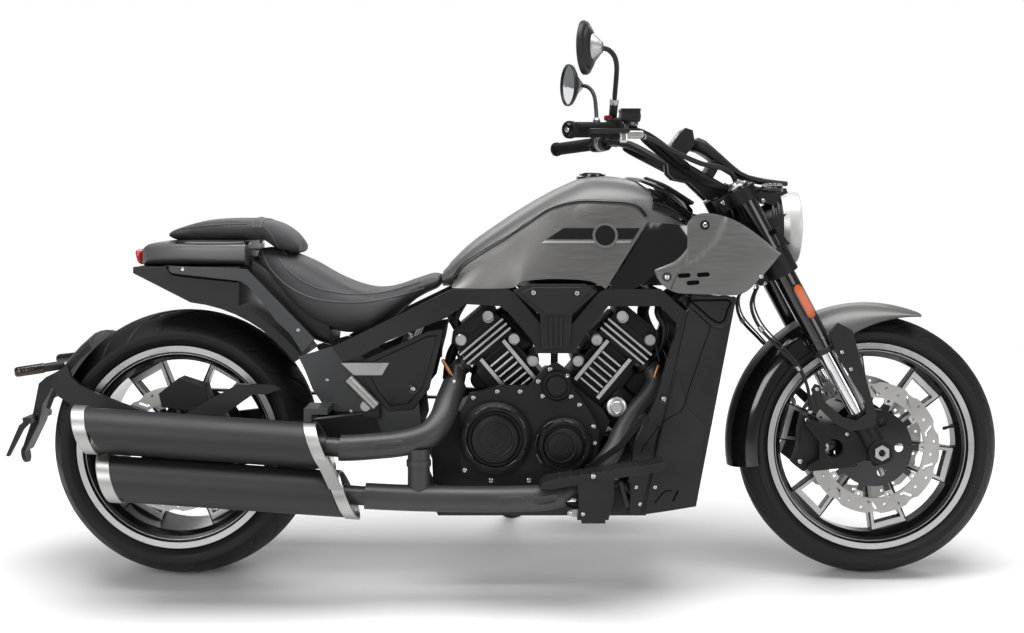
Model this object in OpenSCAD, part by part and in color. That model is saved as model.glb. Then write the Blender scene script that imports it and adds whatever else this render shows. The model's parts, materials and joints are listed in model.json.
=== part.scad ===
// Cruiser motorcycle, parked on its side stand.
// Every piece is drawn upright: +X forward, +Y to the rider's left, +Z up, the ground at Z = 0
// under the wheels. parked() then leans it on its stand and centres it over the origin.

/* [Stance] */
// Lean towards the left when parked, degrees
lean = 9; // [7:0.5:11]
// Distance between the two axles
wheelbase = 1685; // [1650:5:1720]
// Rear axle, behind the reference point under the tank
rear_axle_back = 805; // [790:1:820]
// Rake of the fork, degrees
rake = 28; // [26:0.5:30]
// Steering axis, behind the line of the fork tubes
fork_offset = 40; // [36:1:44]

/* [Tyres] */
// Outer radius of the front tyre
front_tyre_r = 319; // [312:1:324]
// Width of the front tyre
front_tyre_w = 130; // [120:1:140]
// Radius of the front tyre's crown, across the tread
front_crown_r = 68; // [66:1:80]
// Outer radius of the rear tyre
rear_tyre_r = 325; // [318:1:330]
// Width of the rear tyre
rear_tyre_w = 240; // [220:1:240]
// Radius of the rear tyre's crown, across the tread
rear_crown_r = 140; // [125:1:170]

/* [Wheels] */
// Outer radius of the front rim's lip
front_lip_r = 253; // [248:1:256]
// Width of the front rim
front_rim_w = 104; // [96:1:110]
// Outer radius of the rear rim's lip
rear_lip_r = 244; // [238:1:248]
// Width of the rear rim
rear_rim_w = 216; // [200:1:216]
// Number of forked spokes in each wheel
spokes = 6; // [5:1:7]
// Radius of the front brake discs
front_disc_r = 160; // [150:1:165]
// Radius of the rear brake disc
rear_disc_r = 150; // [140:1:155]
// Thickness of a brake disc
disc_t = 5; // [4:0.5:6]
// Radius of the two wheel spindles
spindle_r = 12.5; // [10:0.5:14]

/* [Fork] */
// Distance of each fork tube from the middle
fork_y = 110; // [106:1:114]
// Radius of the upper fork tube
upper_tube_r = 26.5; // [25:0.5:28]
// Radius of the bright lower fork tube
lower_tube_r = 20.5; // [19:0.5:22]
// Height of the top yoke along the fork, from the axle
fork_top = 712; // [700:1:720]
// Radius of the steering stem
stem_r = 15; // [13:0.5:16]

/* [Engine] */
// Half of the angle between the cylinders, degrees
half_vee = 40; // [38:0.5:42]
// Crankshaft, ahead of the reference point
crank_x = 105; // [95:1:115]
// Crankshaft, above the ground
crank_z = 379; // [370:1:385]
// Half of the crankcase's width
case_half = 130; // [120:1:134]
// Fins on each barrel
barrel_fins = 6; // [4:1:7]

/* [Exhaust] */
// Radius of a silencer
silencer_r = 52; // [48:0.5:53]
// Distance of the silencers from the middle
silencer_y = 236; // [234:1:242]

/* [Controls] */
// Radius of the handlebar tube
bar_r = 11; // [10:0.5:12.7]
// Distance of a grip's outer end from the middle
grip_end_y = 430; // [410:5:440]
// Radius of a mirror
mirror_r = 59; // [50:1:64]

/* [Bodywork] */
// Half of the tank's width at its widest
tank_half = 158; // [150:1:160]
// Thickness of the body panels
panel_t = 4; // [3:0.5:6]

/* [Side stand] */
// Length of the stand's leg from its pivot to its foot
stand_reach = 195; // [180:5:210]

/* [Hidden] */

$fn = 48;
// Space between pieces that seat on each other
seat = 0.3;
// Running clearance between a shaft and its hole, on the radius
run = 0.05;
front_axle_x = wheelbase - rear_axle_back;
rear_axle_x = -rear_axle_back;
// A leaning tyre touches the ground on the side of its crown, so its axle sits a little higher
front_axle_z = front_tyre_r + front_crown_r * (1 / cos(lean) - 1);
rear_axle_z = rear_tyre_r + rear_crown_r * (1 / cos(lean) - 1);

// Centre of the parked machine's outline, moved to the origin
plan_x = (front_axle_x + front_tyre_r - 1232) / 2;
plan_y = 196;

module parked() {
    translate([-plan_x, -plan_y, 0]) rotate([-lean, 0, 0]) children();
}

module both() {
    children();
    mirror([0, 1, 0]) children();
}

// A side-view outline (X, Z), given a thickness from y0 to y1
module slab(y0, y1) {
    translate([0, max(y0, y1), 0]) rotate([90, 0, 0]) linear_extrude(abs(y1 - y0)) children();
}

// A profile (radius, Y) turned about an axis along Y through (x, z)
module turned(x, z) {
    translate([x, 0, z]) rotate([-90, 0, 0]) rotate_extrude($fn = 96) children();
}

// A round bar between two points
module rod(a, b, r) {
    d = b - a;
    l = norm(d);
    translate(a) rotate([0, acos(d[2] / l), atan2(d[1], d[0])]) cylinder(h = l, r = r);
}

// A round boss or hole along Y
module boss(x, z, y0, y1, r) {
    translate([x, min(y0, y1), z]) rotate([-90, 0, 0]) cylinder(h = abs(y1 - y0), r = r);
}

// A place on the right fork leg: s up the leg from the axle, u ahead of its line, y across
function fork_pt(s, u = 0, y = 0) = [
    front_axle_x + u * cos(rake) - s * sin(rake), y, front_axle_z + u * sin(rake) + s * cos(rake)];
module on_fork(s = 0, u = 0, y = 0) {
    translate(fork_pt(s, u, y)) rotate([0, -rake, 0]) children();
}
// The same, on the steering axis
module on_steering(s) {
    on_fork(s, -fork_offset) children();
}

// Points of a circular arc, from angle a0 to a1
function arc(cx, cy, r, a0, a1, n) = [
    for (i = [0:n]) let (a = a0 + (a1 - a0) * i / n) [cx + r * cos(a), cy + r * sin(a)]];

// A smooth curve through the points P, at t from 0 to 1
function blend4(a, b, c, d, t) =
    0.5 * (2 * b + (c - a) * t + (2 * a - 5 * b + 4 * c - d) * t * t
           + (3 * b - a - 3 * c + d) * t * t * t);
function spline(P, t) =
    let (n = len(P) - 1, u = min(t * n, n - 0.000001), i = floor(u))
    blend4(P[max(i - 1, 0)], P[i], P[i + 1], P[min(i + 2, n)], u - i);
function curve(P, n) = [for (i = [0:n]) spline(P, i / n)];

// A closed skin over equal rings of points, with flat ends. Each ring has an even number of
// points and runs anticlockwise, seen from the end that the rings lead to.
module loft(rings) {
    n = len(rings[0]);
    far = (len(rings) - 1) * n;
    sides = [for (i = [0:n:far - 1]) for (j = [0:n - 1])
        let (a = i + j, b = i + (j + 1) % n) for (t = [[a, b + n, b], [a, a + n, b + n]]) t];
    ends = [for (j = [0:n / 2 - 2]) let (k = n - 1 - j)
        for (t = [[j, j + 1, k - 1], [j, k - 1, k],
                  [far + j, far + k - 1, far + j + 1], [far + j, far + k, far + k - 1]]) t];
    polyhedron([for (r = rings) for (p = r) p], concat(sides, ends), convexity = 8);
}

// A ring across the machine at x: rounded box w wide each side, from z0 to z1, corner power e
function round_ring(x, w, z0, z1, n = 24, e = 3) = [
    for (i = [0:n - 1]) let (a = 360 * (i + 0.5) / n, c = cos(a), s = sin(a))
        [x, sign(c) * w * pow(abs(c), 2 / e), (z0 + z1) / 2 + sign(s) * (z1 - z0) / 2 * pow(abs(s), 2 / e)]];

// A solid from stations [x, half width, bottom, top], joined smoothly, nowhere lower than floor
module body_loft(stations, steps = 14, n = 24, e = 3, floor = -1000) {
    loft([for (k = curve(stations, steps)) round_ring(k[0], k[1], max(k[2], floor), k[3], n, e)]);
}

// A round tube along a curve through P, which nowhere runs along the direction side
module pipe(P, r, steps = 12, n = 12, side = [0, 1, 0]) tube(curve(P, steps), r, n, side);
module tube(path, r, n = 12, side = [0, 1, 0]) {
    last = len(path) - 1;
    loft([for (i = [0:last])
        let (t = path[min(i + 1, last)] - path[max(i - 1, 0)], f = t / norm(t),
             g = cross(side, f), h = g / norm(g), k = cross(f, h))
            [for (j = [0:n - 1]) path[i] + r * (cos(360 * j / n) * h + sin(360 * j / n) * k)]]);
}

// A body panel on the right side, between two edges that lead forwards: lists of [X, Y, Z] with
// as many points each. It is bulged outwards by b in the middle and t thick, nowhere lower than
// floor, and where over is true it stays 3 mm outside the tank.
module panel(low, high, b = 6, t = panel_t, nu = 12, nv = 4, floor = -1000, over = false) {
    lo = curve(low, nu);
    hi = curve(high, nu);
    skin = [for (i = [0:nu]) [for (j = [0:nv])
        let (v = j / nv, q = lo[i] * (1 - v) + hi[i] * v - [0, b * 4 * v * (1 - v), 0],
             z = max(q[2], floor))
            [q[0], over ? min(q[1], -tank_y(q[0], z) - t - 3) : q[1], z]]];
    loft([for (i = [0:nu]) concat([for (j = [0:nv]) skin[i][j] + [0, t, 0]],
                                  [for (j = [nv:-1:0]) skin[i][j]])]);
}

// Frame

// Swingarm pivot
pivot_x = -262;
pivot_z = 385;
// The two spars, and the plates and rails inside them, from the crankcase outwards
spar_in = case_half + 22;
spar_out = spar_in + 26;
plate_in = case_half + 4;
plate_out = plate_in + 16;
// Top of the spars, which the tank and its panels rest on
spar_top = 711;
tank_base = spar_top + seat;
// Cross tubes that the tank and the seat rest on
tank_bar_r = 13;
seat_bar = [-365, 587];

module main_frame() parked() color("#2c2d2f") difference() {
    union() {
        both() slab(-spar_in, -spar_out) polygon([
            [-425, 574], [-146, 709], [-135, spar_top], [-9, spar_top], [7, 702], [69, 626], [75, 585],
            [133, 585], [139, 626], [203, 702], [220, spar_top], [352, spar_top], [420, 650],
            [423, 624], [338, 354], [316, 180], [276, 180], [286, 340], [338, 449], [392, 626],
            [350, 671], [227, 671], [160, 585], [150, 560], [58, 560], [48, 590], [-9, 657],
            [-28, 671], [-111, 676], [-152, 645], [-290, 590], [-359, 552], [-400, 540]]);
        for (p = [[384, 664, 16], [-214, 642, 15], [seat_bar[0], seat_bar[1], 12],
                  [-128, spar_top - tank_bar_r, tank_bar_r], [346, spar_top - tank_bar_r, tank_bar_r]])
            boss(p[0], p[1], -spar_in - 1, spar_in + 1, p[2]);
        // Arms from the steering head out to the two spars
        both() rod(fork_pt(575, -fork_offset, -10), [398, -spar_in - 6, 668], 19);
        on_steering(545 + seat) cylinder(h = 678 - 545 - 2 * seat, r = 33);
    }
    on_steering(500) cylinder(h = 250, r = stem_r + run);
}

module rear_frame() parked() color("#303133") {
    both() {
        // Plate behind the engine, down to the swingarm pivot
        slab(-plate_in, -plate_out) polygon([
            [-508, 549], [-427, 573], [-359, 548], [-300, 520], [-230, 500], [-215, 380],
            [-225, 350], [-300, 350], [-332, 419], [-419, 419], [-450, 436], [-474, 471], [-491, 514]]);
        // Strut along the side of the tail
        slab(-plate_in, -plate_in - 10) polygon([
            [-828, tail_base + 3], [-811, tail_base - 14], [-649, 729], [-630, 717], [-582, 664], [-565, 636],
            [-530, 604], [-500, 560], [-470, 590], [-632, 757]]);
    }
    boss(-440, 520, -plate_in - 1, plate_in + 1, 13);
    // Hanger of the silencers, down to the upper clamp
    slab(-plate_out + 1, -silencer_y - 12) polygon([[-480, 426], [-425, 426], [-425, 440], [-480, 440]]);
    slab(-silencer_y + 12, -silencer_y - 12) polygon([
        for (x = [-480, -462]) [x, axis_pt(upper_tail, upper_nose, x)[2] + (silencer_r + trim_t) * 1.0025],
        [-462, 430], [-480, 430]]);
}

module lower_frame() parked() color("#2c2d2f") {
    both() slab(-case_half - seat, -spar_in + seat) polygon([
        [-244, 349.7], [-226, 349.7], [-166, 200], [300, 200], [324, 300], [340, 300], [318, 172],
        [-176, 172]]);
    for (x = [-140, 90, 290])
        boss(x, 186, -case_half - 1, case_half + 1, 13);
    // Bracket of the side stand: two ears, joined behind the leg's eye
    at_stand() {
        for (z = [stand_eye_h / 2 + seat, -stand_eye_h / 2 - seat - 6]) translate([0, 0, z]) {
            cylinder(h = 6, r = stand_eye_r);
            translate([-40, -12, 0]) cube([40, 24, 6]);
        }
        translate([-40, -12, -stand_eye_h / 2 - 2]) cube([18, 24, stand_eye_h + 4]);
        translate([0, 0, -stand_eye_h / 2 - 4]) cylinder(h = stand_eye_h + 8, r = stand_pin_r);
    }
}

module swingarm() parked() color("#3a3b3d") difference() {
    union() {
        // Arms: stations of X, inner face, outer face, bottom and top
        arm([[-238, 104, 133, 366, 404], [-340, 106, plate_in - seat, 346, 412],
             [-420, 108, 140, 336, 404],
             [-550, 134, 160, 316, 392], [-660, 160, 180, 300, 378], [-852, 160, 180, 298, 356]]);
        mirror([0, 1, 0])
            arm([[-238, 104, 133, 366, 404], [-340, 106, plate_in - seat, 346, 408],
                 [-420, 118, 144, 336, 400],
                 [-550, 150, 176, 316, 392], [-660, 179, 197, 300, 378], [-852, 179, 197, 298, 356]]);
        boss(pivot_x, pivot_z, -plate_in + seat, plate_in - seat, 24);
        slab(-110, 110) polygon([[-390, 372], [-330, 352], [-300, 352], [-300, 410], [-330, 414]]);
        // Horn above the right arm
        slab(-160, -176) polygon([[-789, 345], [-789, 408], [-647, 487], [-563, 485], [-547, 475],
                                  [-580, 463], [-611, 463], [-700, 400], [-640, 370]]);
    }
    boss(rear_axle_x, rear_axle_z, -210, 210, spindle_r + run);
}

// One swingarm leg on the right side, through its stations
module arm(stations) {
    loft([for (k = [len(stations) - 1:-1:0]) let (q = stations[k])
        [[q[0], -q[1], q[3]], [q[0], -q[1], q[4]], [q[0], -q[2], q[4]], [q[0], -q[2], q[3]]]]);
}

module rear_spindle() parked() color("#b9bbbd") {
    boss(rear_axle_x, rear_axle_z, -192, 209, spindle_r);
    boss(rear_axle_x, rear_axle_z, -180 - seat, -192, 20);
    boss(rear_axle_x, rear_axle_z, 197 + seat, 209, 20);
    // Spacers beside the hub
    boss(rear_axle_x, rear_axle_z, -rear_disc_y - disc_t / 2 - seat, -160 + seat, 18);
    boss(rear_axle_x, rear_axle_z, belt_out + seat, 179 - seat, 18);
}

module rear_shock() parked() color("#8f9193") {
    boss(-315, 423.4, -12, 12, 11);
    rod([-315, 0, 423.4], [-221, 0, 625], 9);
    rod([-299, 0, 457], [-240, 0, 584], 26);
}

// Engine

// Height of the two cylinder decks above the crankshaft
deck_h = 104;
// A point of the side view, q ahead of a cylinder's axis and t up along it; side -1 is the rear one
function cyl_pt(side, q, t) = let (a = side * half_vee)
    [crank_x + q * cos(a) + t * sin(a), crank_z - q * sin(a) + t * cos(a)];

// A cylinder's own frame: its axis up, from the crankshaft
module cylinder_axis(side) {
    translate([crank_x, 0, crank_z]) rotate([0, side * half_vee, 0]) children();
}

module crankcase() parked() color("#3b3b3d") difference() {
    union() {
        slab(-case_half, case_half) polygon(concat(
            [[-189, 248], [-194, 354], [-172, 398], [-100, 428], [-30, 410]],
            [for (k = [-1, 1]) for (q = [-60, 60]) cyl_pt(k, q, deck_h)],
            [[235, 392], [213, 343], [203, 284], [190, 230], [150, 205], [-120, 205], [-165, 222]]));
        // Oil filter, ahead of the crankcase
        translate([200, -40, 300]) rotate([0, 80, 0]) cylinder(h = 90, r = 38);
    }
    both() boss(-150, 222, -60, -case_half - 1, 6);
}

// Cover of revolution on the right side: face radius r, d deep, with a raised middle
module round_cover(p, r, y, d) {
    turned(p[0], p[1]) polygon([
        [0, -y], [r, -y], [r, -y - d * 0.6], [r - d * 0.4, -y - d], [r * 0.78, -y - d],
        [r * 0.74, -y - d * 0.75], [r * 0.68, -y - d * 0.75], [r * 0.62, -y - d * 1.35],
        [r * 0.3, -y - d * 1.45], [0, -y - d * 1.45]]);
}

// Centres of the clutch, primary and timing covers, from the crankshaft
clutch_at = [crank_x - 145, crank_z - 21];
primary_at = [crank_x + 19, crank_z - 38];
timing_at = [crank_x + 1, crank_z + 103];
cover_y = case_half + 30;
module engine_covers() parked() color("#343436") {
    // Clutch cover, primary cover and timing cover on the right
    difference() {
        union() {
            slab(-case_half - seat, -cover_y) polygon([
                [-122, 270], [-122, 420], [-100, 462], [-30, 480], [40, 480], [75, 520], [106, 536],
                [136, 515], [148, 470], [185, 420], [206, 378], [206, 343], [194, 290], [160, 262],
                [40, 250], [-60, 250]]);
            round_cover(clutch_at, 86, cover_y - 1, 24);
            round_cover(primary_at, 66, cover_y - 1, 20);
            round_cover(timing_at, 36, cover_y - 1, 10);
        }
        // Slots round the rims
        for (a = [20:40:340])
            translate([clutch_at[0], 0, clutch_at[1]]) rotate([0, a, 0])
                translate([-14, -cover_y - 40, 72]) cube([28, 20, 4]);
        for (a = [10:60:350])
            translate([primary_at[0], 0, primary_at[1]]) rotate([0, a, 0])
                translate([-10, -cover_y - 36, 55]) cube([20, 20, 3]);
    }
    // Generator and sprocket covers on the left
    slab(case_half + seat, case_half + 20) polygon([
        [-200, 300], [-200, 400], [-140, 440], [20, 430], [120, 445], [210, 400], [222, 340], [190, 270],
        [100, 240], [-120, 245]]);
    turned(crank_x + 13, crank_z - 34) polygon([
        [0, case_half + 19], [82, case_half + 19], [82, case_half + 34], [74, case_half + 42],
        [50, case_half + 42], [46, case_half + 37], [0, case_half + 37]]);
}

module cylinder_block(side) {
    fin_pitch = 105 / (barrel_fins - 1);
    cylinder_axis(side) {
        // Barrel and head
        translate([-54, -92, deck_h + seat]) cube([108, 184, 140]);
        translate([-64, -98, 240]) cube([128, 196, 56]);
        // Rails down the barrel's sides, with fins between them
        for (q = [-35, 35])
            translate([q - 4.5, -110, 115]) cube([9, 220, 123]);
        for (i = [0:barrel_fins - 1])
            translate([-33, -106, 122 + i * fin_pitch]) cube([66, 212, 4]);
        // Fins of the head
        for (i = [0:2])
            translate([-68, -110, 248 + i * 14]) cube([136, 220, 5]);
        // Rocker cover
        rotate([90, 0, 0]) translate([0, 0, -92]) linear_extrude(184) polygon([
            [-60, 294], [-66, 314], [-46, 332], [46, 332], [66, 314], [60, 294]]);
        // Plugs of the camshafts and of the water jacket
        for (p = [[-43, 304, 14], [43, 304, 14], [-side * 57, 223, 13], [-side * 57, 155, 13]])
            rotate([90, 0, 0]) translate([p[0], p[1], -100]) {
                cylinder(h = 200, r = p[2]);
                translate([0, 0, 4]) cylinder(h = 192, r = p[2] + 4);
            }
    }
}
module rear_cylinder() parked() color("#3a3a3c") cylinder_block(-1);
module front_cylinder() parked() color("#3a3a3c") cylinder_block(1);

module airbox() parked() color("#1f2022") {
    slab(-spar_in + seat, spar_in - seat) polygon([[40, 704], [210, 704], [152, 600], [108, 600]]);
    both() {
        slab(-spar_out - seat, -spar_out - 12) polygon([
            [35, 724], [174, 724], [200, 706], [141, 651], [136, 571], [70, 571], [66, 651], [2, 708]]);
        // Raised face above, and ribs down the column
        slab(-spar_out - 11, -spar_out - 17) polygon([
            [50, 716], [160, 716], [182, 704], [128, 654], [79, 654], [22, 704]]);
        for (i = [-2:2])
            slab(-spar_out - 11, -spar_out - 16) translate([103 + 12 * i - 3, 576]) square([6, 72]);
    }
}

// Bodywork

tank_stations = [[-168, 108, tank_base, 750], [-105, 130, tank_base, 812],
                 [-30, 144, tank_base, 866], [45, 153, tank_base, 914],
                 [120, tank_half, tank_base, 954], [194, tank_half + 2, tank_base, 980],
                 [294, tank_half, tank_base, 972], [370, 142, tank_base, 944],
                 [440, 108, 735, 892]];
tank_power = 2.6;
tank_curve = curve(tank_stations, 40);
// Half width of the tank's skin at x, at height z
function tank_y(x, z) =
    let (w = lookup(x, [for (k = tank_curve) [k[0], k[1]]]),
         top = lookup(x, [for (k = tank_curve) [k[0], k[3]]]),
         h = (top - tank_base) / 2, v = min(abs(z - tank_base - h) / h, 0.98))
    w * pow(1 - pow(v, tank_power), 1 / tank_power);

module fuel_tank() parked() color("#6a6b6d") {
    body_loft(tank_stations, 16, 28, tank_power, tank_base);
    translate([200, 0, 976]) rotate([0, 2, 0]) cylinder(h = 12, r = 34);
}

module tank_panels() parked() color("#7b7c7e") both()
    panel([[-146, -160, tank_base], [-80, -168, tank_base], [-12, -176, tank_base], [30, -182, 734],
           [120, -185, 734], [190, -184, 724], [222, -182, tank_base]],
          [for (p = [[-140, 742], [-105, 772], [-50, 815], [19, 858], [113, 904], [230, 912], [318, 872]])
              [p[0], -tank_y(p[0], p[1]) - panel_t - 2, p[1]]],
          9, panel_t, 12, 4, tank_base, true);

module shoulder_panels() parked() color("#141416") both()
    panel([[227, -177.5, tank_base], [285, -177, tank_base], [338, -176, 748], [399, -172, 789],
           [426, -168, 829]],
          [for (p = [[326, 868], [350, 868], [375, 866], [400, 864], [428, 860]])
              [p[0], -tank_y(p[0], p[1]) - panel_t - 2, p[1]]],
          3, panel_t, 10, 4, tank_base, true);

module front_shrouds() parked() color("#8a8b8d") both()
    panel([for (p = [[334, 750], [356, 720], [385, 704], [420, 701], [450, 700], [537, 700], [585, 740],
                     [630, 792]]) [p[0], -spar_out - panel_t - seat, p[1]]],
          [[336, -186, 758], [391, -184, 783], [423, -181, 832], [413, -177, 864], [440, -176, 888],
           [486, -176, 887], [549, -178, 860], [632, -181, 796]],
          6, panel_t, 21, 6);

module radiator_shrouds() parked() color("#222325") both() {
    panel([for (p = [[304, 180], [360, 188], [433, 200]]) [p[0], -spar_out - panel_t - seat, p[1]]],
          [for (p = [[424, 698], [470, 698], [528, 692]]) [p[0], -spar_out - panel_t - seat, p[1]]],
          0, panel_t, 6, 8);
    // Raised lower half
    slab(-spar_out - panel_t - seat + 1, -spar_out - panel_t - 5) polygon([
        [312, 190], [426, 208], [456, 390], [414, 432], [402, 470], [390, 520], [350, 372]]);
}

module radiator() parked() color("#1b1c1d") {
    // Core between two tanks, in a frame
    slab(-118, 118) polygon([[404, 224], [434, 224], [467, 550], [439, 550]]);
    both() slab(-116, -140) polygon([[400, 215], [440, 215], [475, 560], [435, 560]]);
    for (p = [[400, 215], [434, 552]])
        slab(-140, 140) translate(p) polygon([[0, 0], [40, 0], [42, 12], [1, 12]]);
    // Fan housing behind the core
    translate([426, 0, 390]) rotate([0, -84.5, 0]) cylinder(h = 42, r = 100);
    // Brackets to the spars
    both() {
        boss(405, 598, -114, -spar_in + seat, 9);
        slab(-114, -132) polygon([[396, 602], [412, 604], [462, 552], [436, 552]]);
    }
}

module rider_seat() parked() color("#242426")
    body_loft([[-620, 70, 770, 812], [-560, 110, 690, 800], [-500, 128, 630, 775],
               [-430, 140, 604, 734], [-360, 146, 590, 708], [-300, 142, 630, 706],
               [-230, 124, 690, 728], [-176, 104, 716, 746]],
              14, 24, 2.8, seat_bar[1] + 12 + seat);

// Underside and top of the tail
tail_base = 762;
tail_top = tail_base + 66;
module passenger_seat() parked() color("#28282a")
    body_loft([for (k = [[-845, 60, 0, 8], [-820, 96, 0, 22], [-740, 112, 0, 44], [-640, 118, 0, 49],
                         [-600, 112, 4, 46], [-562, 100, -10, 22]])
                  [k[0], k[1], tail_top + seat + k[2], tail_top + k[3]]], 10, 24, 2.8);

module tail_body() parked() color("#6a6b6d")
    body_loft([for (k = [[-905, 60, -22], [-880, 92, -10], [-800, 118, -1], [-700, 128, 0], [-640, 130, 0]])
                  [k[0], k[1], tail_base + seat, tail_top + k[2]]], 8, 24, 4);

module rear_fender() parked() color("#1c1d1e") {
    slab(-plate_in + seat, plate_in - seat) polygon(concat(
        [[-906, tail_base - 15], [-906, tail_base], [-650, tail_base]],
        arc(rear_axle_x, rear_axle_z, 375, 66, 36, 6),
        arc(rear_axle_x, rear_axle_z, 352, 36, 84, 8)));
}

module tail_lamp() parked() color("#b01818")
    slab(-58, 58) translate([-905 - seat, tail_base]) polygon([
        [-11, 2], [-13, 28], [-7, 40], [0, 40], [0, 2]]);

module side_covers() parked() color("#3d3e40") both() {
    slab(-plate_out - seat, -plate_out - 8) polygon([
        [-377, 532], [-198, 612], [-164, 616], [-170, 579], [-182, 532], [-196, 473], [-235, 425],
        [-292, 419], [-330, 461]]);
    // Raised face
    slab(-plate_out - 7, -plate_out - 13) polygon([
        [-350, 528], [-200, 598], [-179, 600], [-184, 575], [-198, 524], [-212, 478], [-246, 440],
        [-288, 434], [-314, 466]]);
}

// Exhaust

upper_tail = [-978, 389];
upper_nose = [-451, 352];
lower_tail = [-923, 277];
lower_nose = [-402, 241];
// A point on a silencer's axis at x
function axis_pt(tail, nose, x) =
    [x, -silencer_y, tail[1] + (x - tail[0]) * (nose[1] - tail[1]) / (nose[0] - tail[0])];
// Where the header pipes meet the silencers' inlets
upper_inlet = -430;
lower_inlet = -388;

module silencer_bar(tail, nose, r, more = 80) {
    d = (nose - tail) / norm(nose - tail);
    a = tail - d * more;
    b = nose + d * more;
    rod([a[0], -silencer_y, a[1]], [b[0], -silencer_y, b[1]], r);
}

module silencers() parked() color("#2a2a2b") difference() {
    union() {
        intersection() {
            silencer_bar(upper_tail, upper_nose, silencer_r);
            slab(-180, -300) polygon([[-1002, 460], [-925, 320], [-423, 250], [-484, 450]]);
        }
        intersection() {
            silencer_bar(lower_tail, lower_nose, silencer_r);
            slab(-180, -300) polygon([[-962, 360], [-868, 200], [-380, 170], [-436, 320]]);
        }
        rod(axis_pt(upper_tail, upper_nose, upper_inlet - seat),
            axis_pt(upper_tail, upper_nose, upper_inlet - 50), pipe_r + 4);
        rod(axis_pt(lower_tail, lower_nose, lower_inlet - seat),
            axis_pt(lower_tail, lower_nose, lower_inlet - 50), pipe_r + 4);
    }
    silencer_bar(upper_tail - [60, -4.2], upper_tail + [40, -2.8], silencer_r - 12, 0);
    silencer_bar(lower_tail - [60, -4.2], lower_tail + [40, -2.8], silencer_r - 12, 0);
}

// Thickness of the clamps and tips round the silencers
trim_t = 2.8;
module trim_ring(tail, nose, outline) {
    intersection() {
        difference() {
            silencer_bar(tail, nose, silencer_r + trim_t);
            silencer_bar(tail, nose, silencer_r + seat, 90);
        }
        slab(-170, -310) polygon(outline);
    }
}

module silencer_trim() parked() color("#c4c6c8") {
    trim_ring(upper_tail, upper_nose, [[-1030, 470], [-990, 470], [-915, 310], [-955, 310]]);
    trim_ring(lower_tail, lower_nose, [[-985, 360], [-945, 360], [-860, 200], [-900, 200]]);
    trim_ring(upper_tail, upper_nose, [[-500, 430], [-470, 430], [-410, 288], [-440, 288]]);
    trim_ring(lower_tail, lower_nose, [[-436, 300], [-406, 300], [-350, 170], [-380, 170]]);
}

// Radius of the header pipes, the steps along them and their routes
pipe_r = 22;
pipe_steps = 28;
rear_route = concat(
    [for (q = [68.4, 82, 96]) port_pt(-1, -q, 252, -74)],
    [[-137, -106, 480], [-152, -146, 444], [-166, -186, 406], [-196, -216, 374], [-250, -230, 358],
     [-330, -234, 350]],
    [for (x = [-385, -408, upper_inlet]) axis_pt(upper_tail, upper_nose, x)]);
front_route = concat(
    [for (q = [68.4, 82, 96]) port_pt(1, q, 252, -74)],
    [[346, -84, 482], [330, -98, 452], [292, -114, 410], [260, -136, 366], [236, -166, 326],
     [190, -196, 280], [110, -216, 236], [0, -224, 227], [-200, -232, 230]],
    [for (x = [-335, -362, lower_inlet]) axis_pt(lower_tail, lower_nose, x)]);
// A point in front of a cylinder head's port, q from the cylinder's axis and t up along it
function port_pt(side, q, t, y) = let (p = cyl_pt(side, q, t)) [p[0], y, p[1]];

module header_pipes() parked() color("#2f2f30") {
    tube(curve(rear_route, pipe_steps), pipe_r, 12);
    tube(curve(front_route, pipe_steps + 8), pipe_r, 12);
}

// Heat shields round the pipes: outside radius, and the share of each route that they cover
shield_r = 30;
module shield(path, first, last) {
    difference() {
        tube([for (i = [first:last]) path[i]], shield_r, 16);
        tube([for (i = [first - 1:last + 1]) path[i]], pipe_r + seat, 12);
    }
}
module header_shields() parked() color("#353536") {
    shield(curve(rear_route, pipe_steps), 8, pipe_steps - 4);
    shield(curve(front_route, pipe_steps + 8), 23, pipe_steps + 3);
}

// Foot pieces

// Inner edge of the floorboards
board_y = spar_out + 48;
module floorboards() parked() color("#262728") both() {
    slab(-board_y, -board_y - 76) polygon([
        [62, 268], [68, 278], [84, 285], [293, 317], [346, 326], [348, 308], [293, 299], [85, 264]]);
    // Ribbed rubber on the board
    for (i = [0:7])
        translate([104 + i * 25, -board_y - 70, 286.5 + i * 3.8]) rotate([0, -8.7, 0]) cube([10, 64, 4]);
    // Bracket under the board, from the lower frame
    slab(-spar_in + seat, -board_y - 26) polygon([[160, 176], [215, 176], [215, 190], [160, 190]]);
    slab(-board_y - 10, -board_y - 26) polygon([[150, 184], [222, 184], [234, 230], [236, 292], [150, 280],
                                                [154, 220]]);
}

module foot_controls() parked() color("#2b2c2d") both() {
    slab(-board_y + 12, -board_y + 4) polygon([
        [169, 300], [246, 352], [300, 420], [312, 413], [256, 342], [180, 290]]);
    boss(177, 298, -board_y + 11, -board_y + seat, 8);
    boss(306, 414, -board_y + 11, -board_y - 26, 8);
    boss(306, 414, -board_y, -board_y - 22, 12);
}

// Hood behind the rear tyre: an arch across it, on the left end of its arm
hood_half = plate_in + 12;
module hood_skin() {
    loft([for (i = [0:6]) let (a = 129 + i * 33 / 6)
        concat(hood_row(a, hood_half, 38), hood_row(a, hood_half - 4, 34, -1))]);
}
function hood_row(a, w, h, way = 1) = [
    for (j = [0:10]) let (b = way * (-90 + 18 * j), r = rear_tyre_r - 14 + h * max(cos(b), 0))
        [r * cos(a), w * sin(b), r * sin(a)]];

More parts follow.
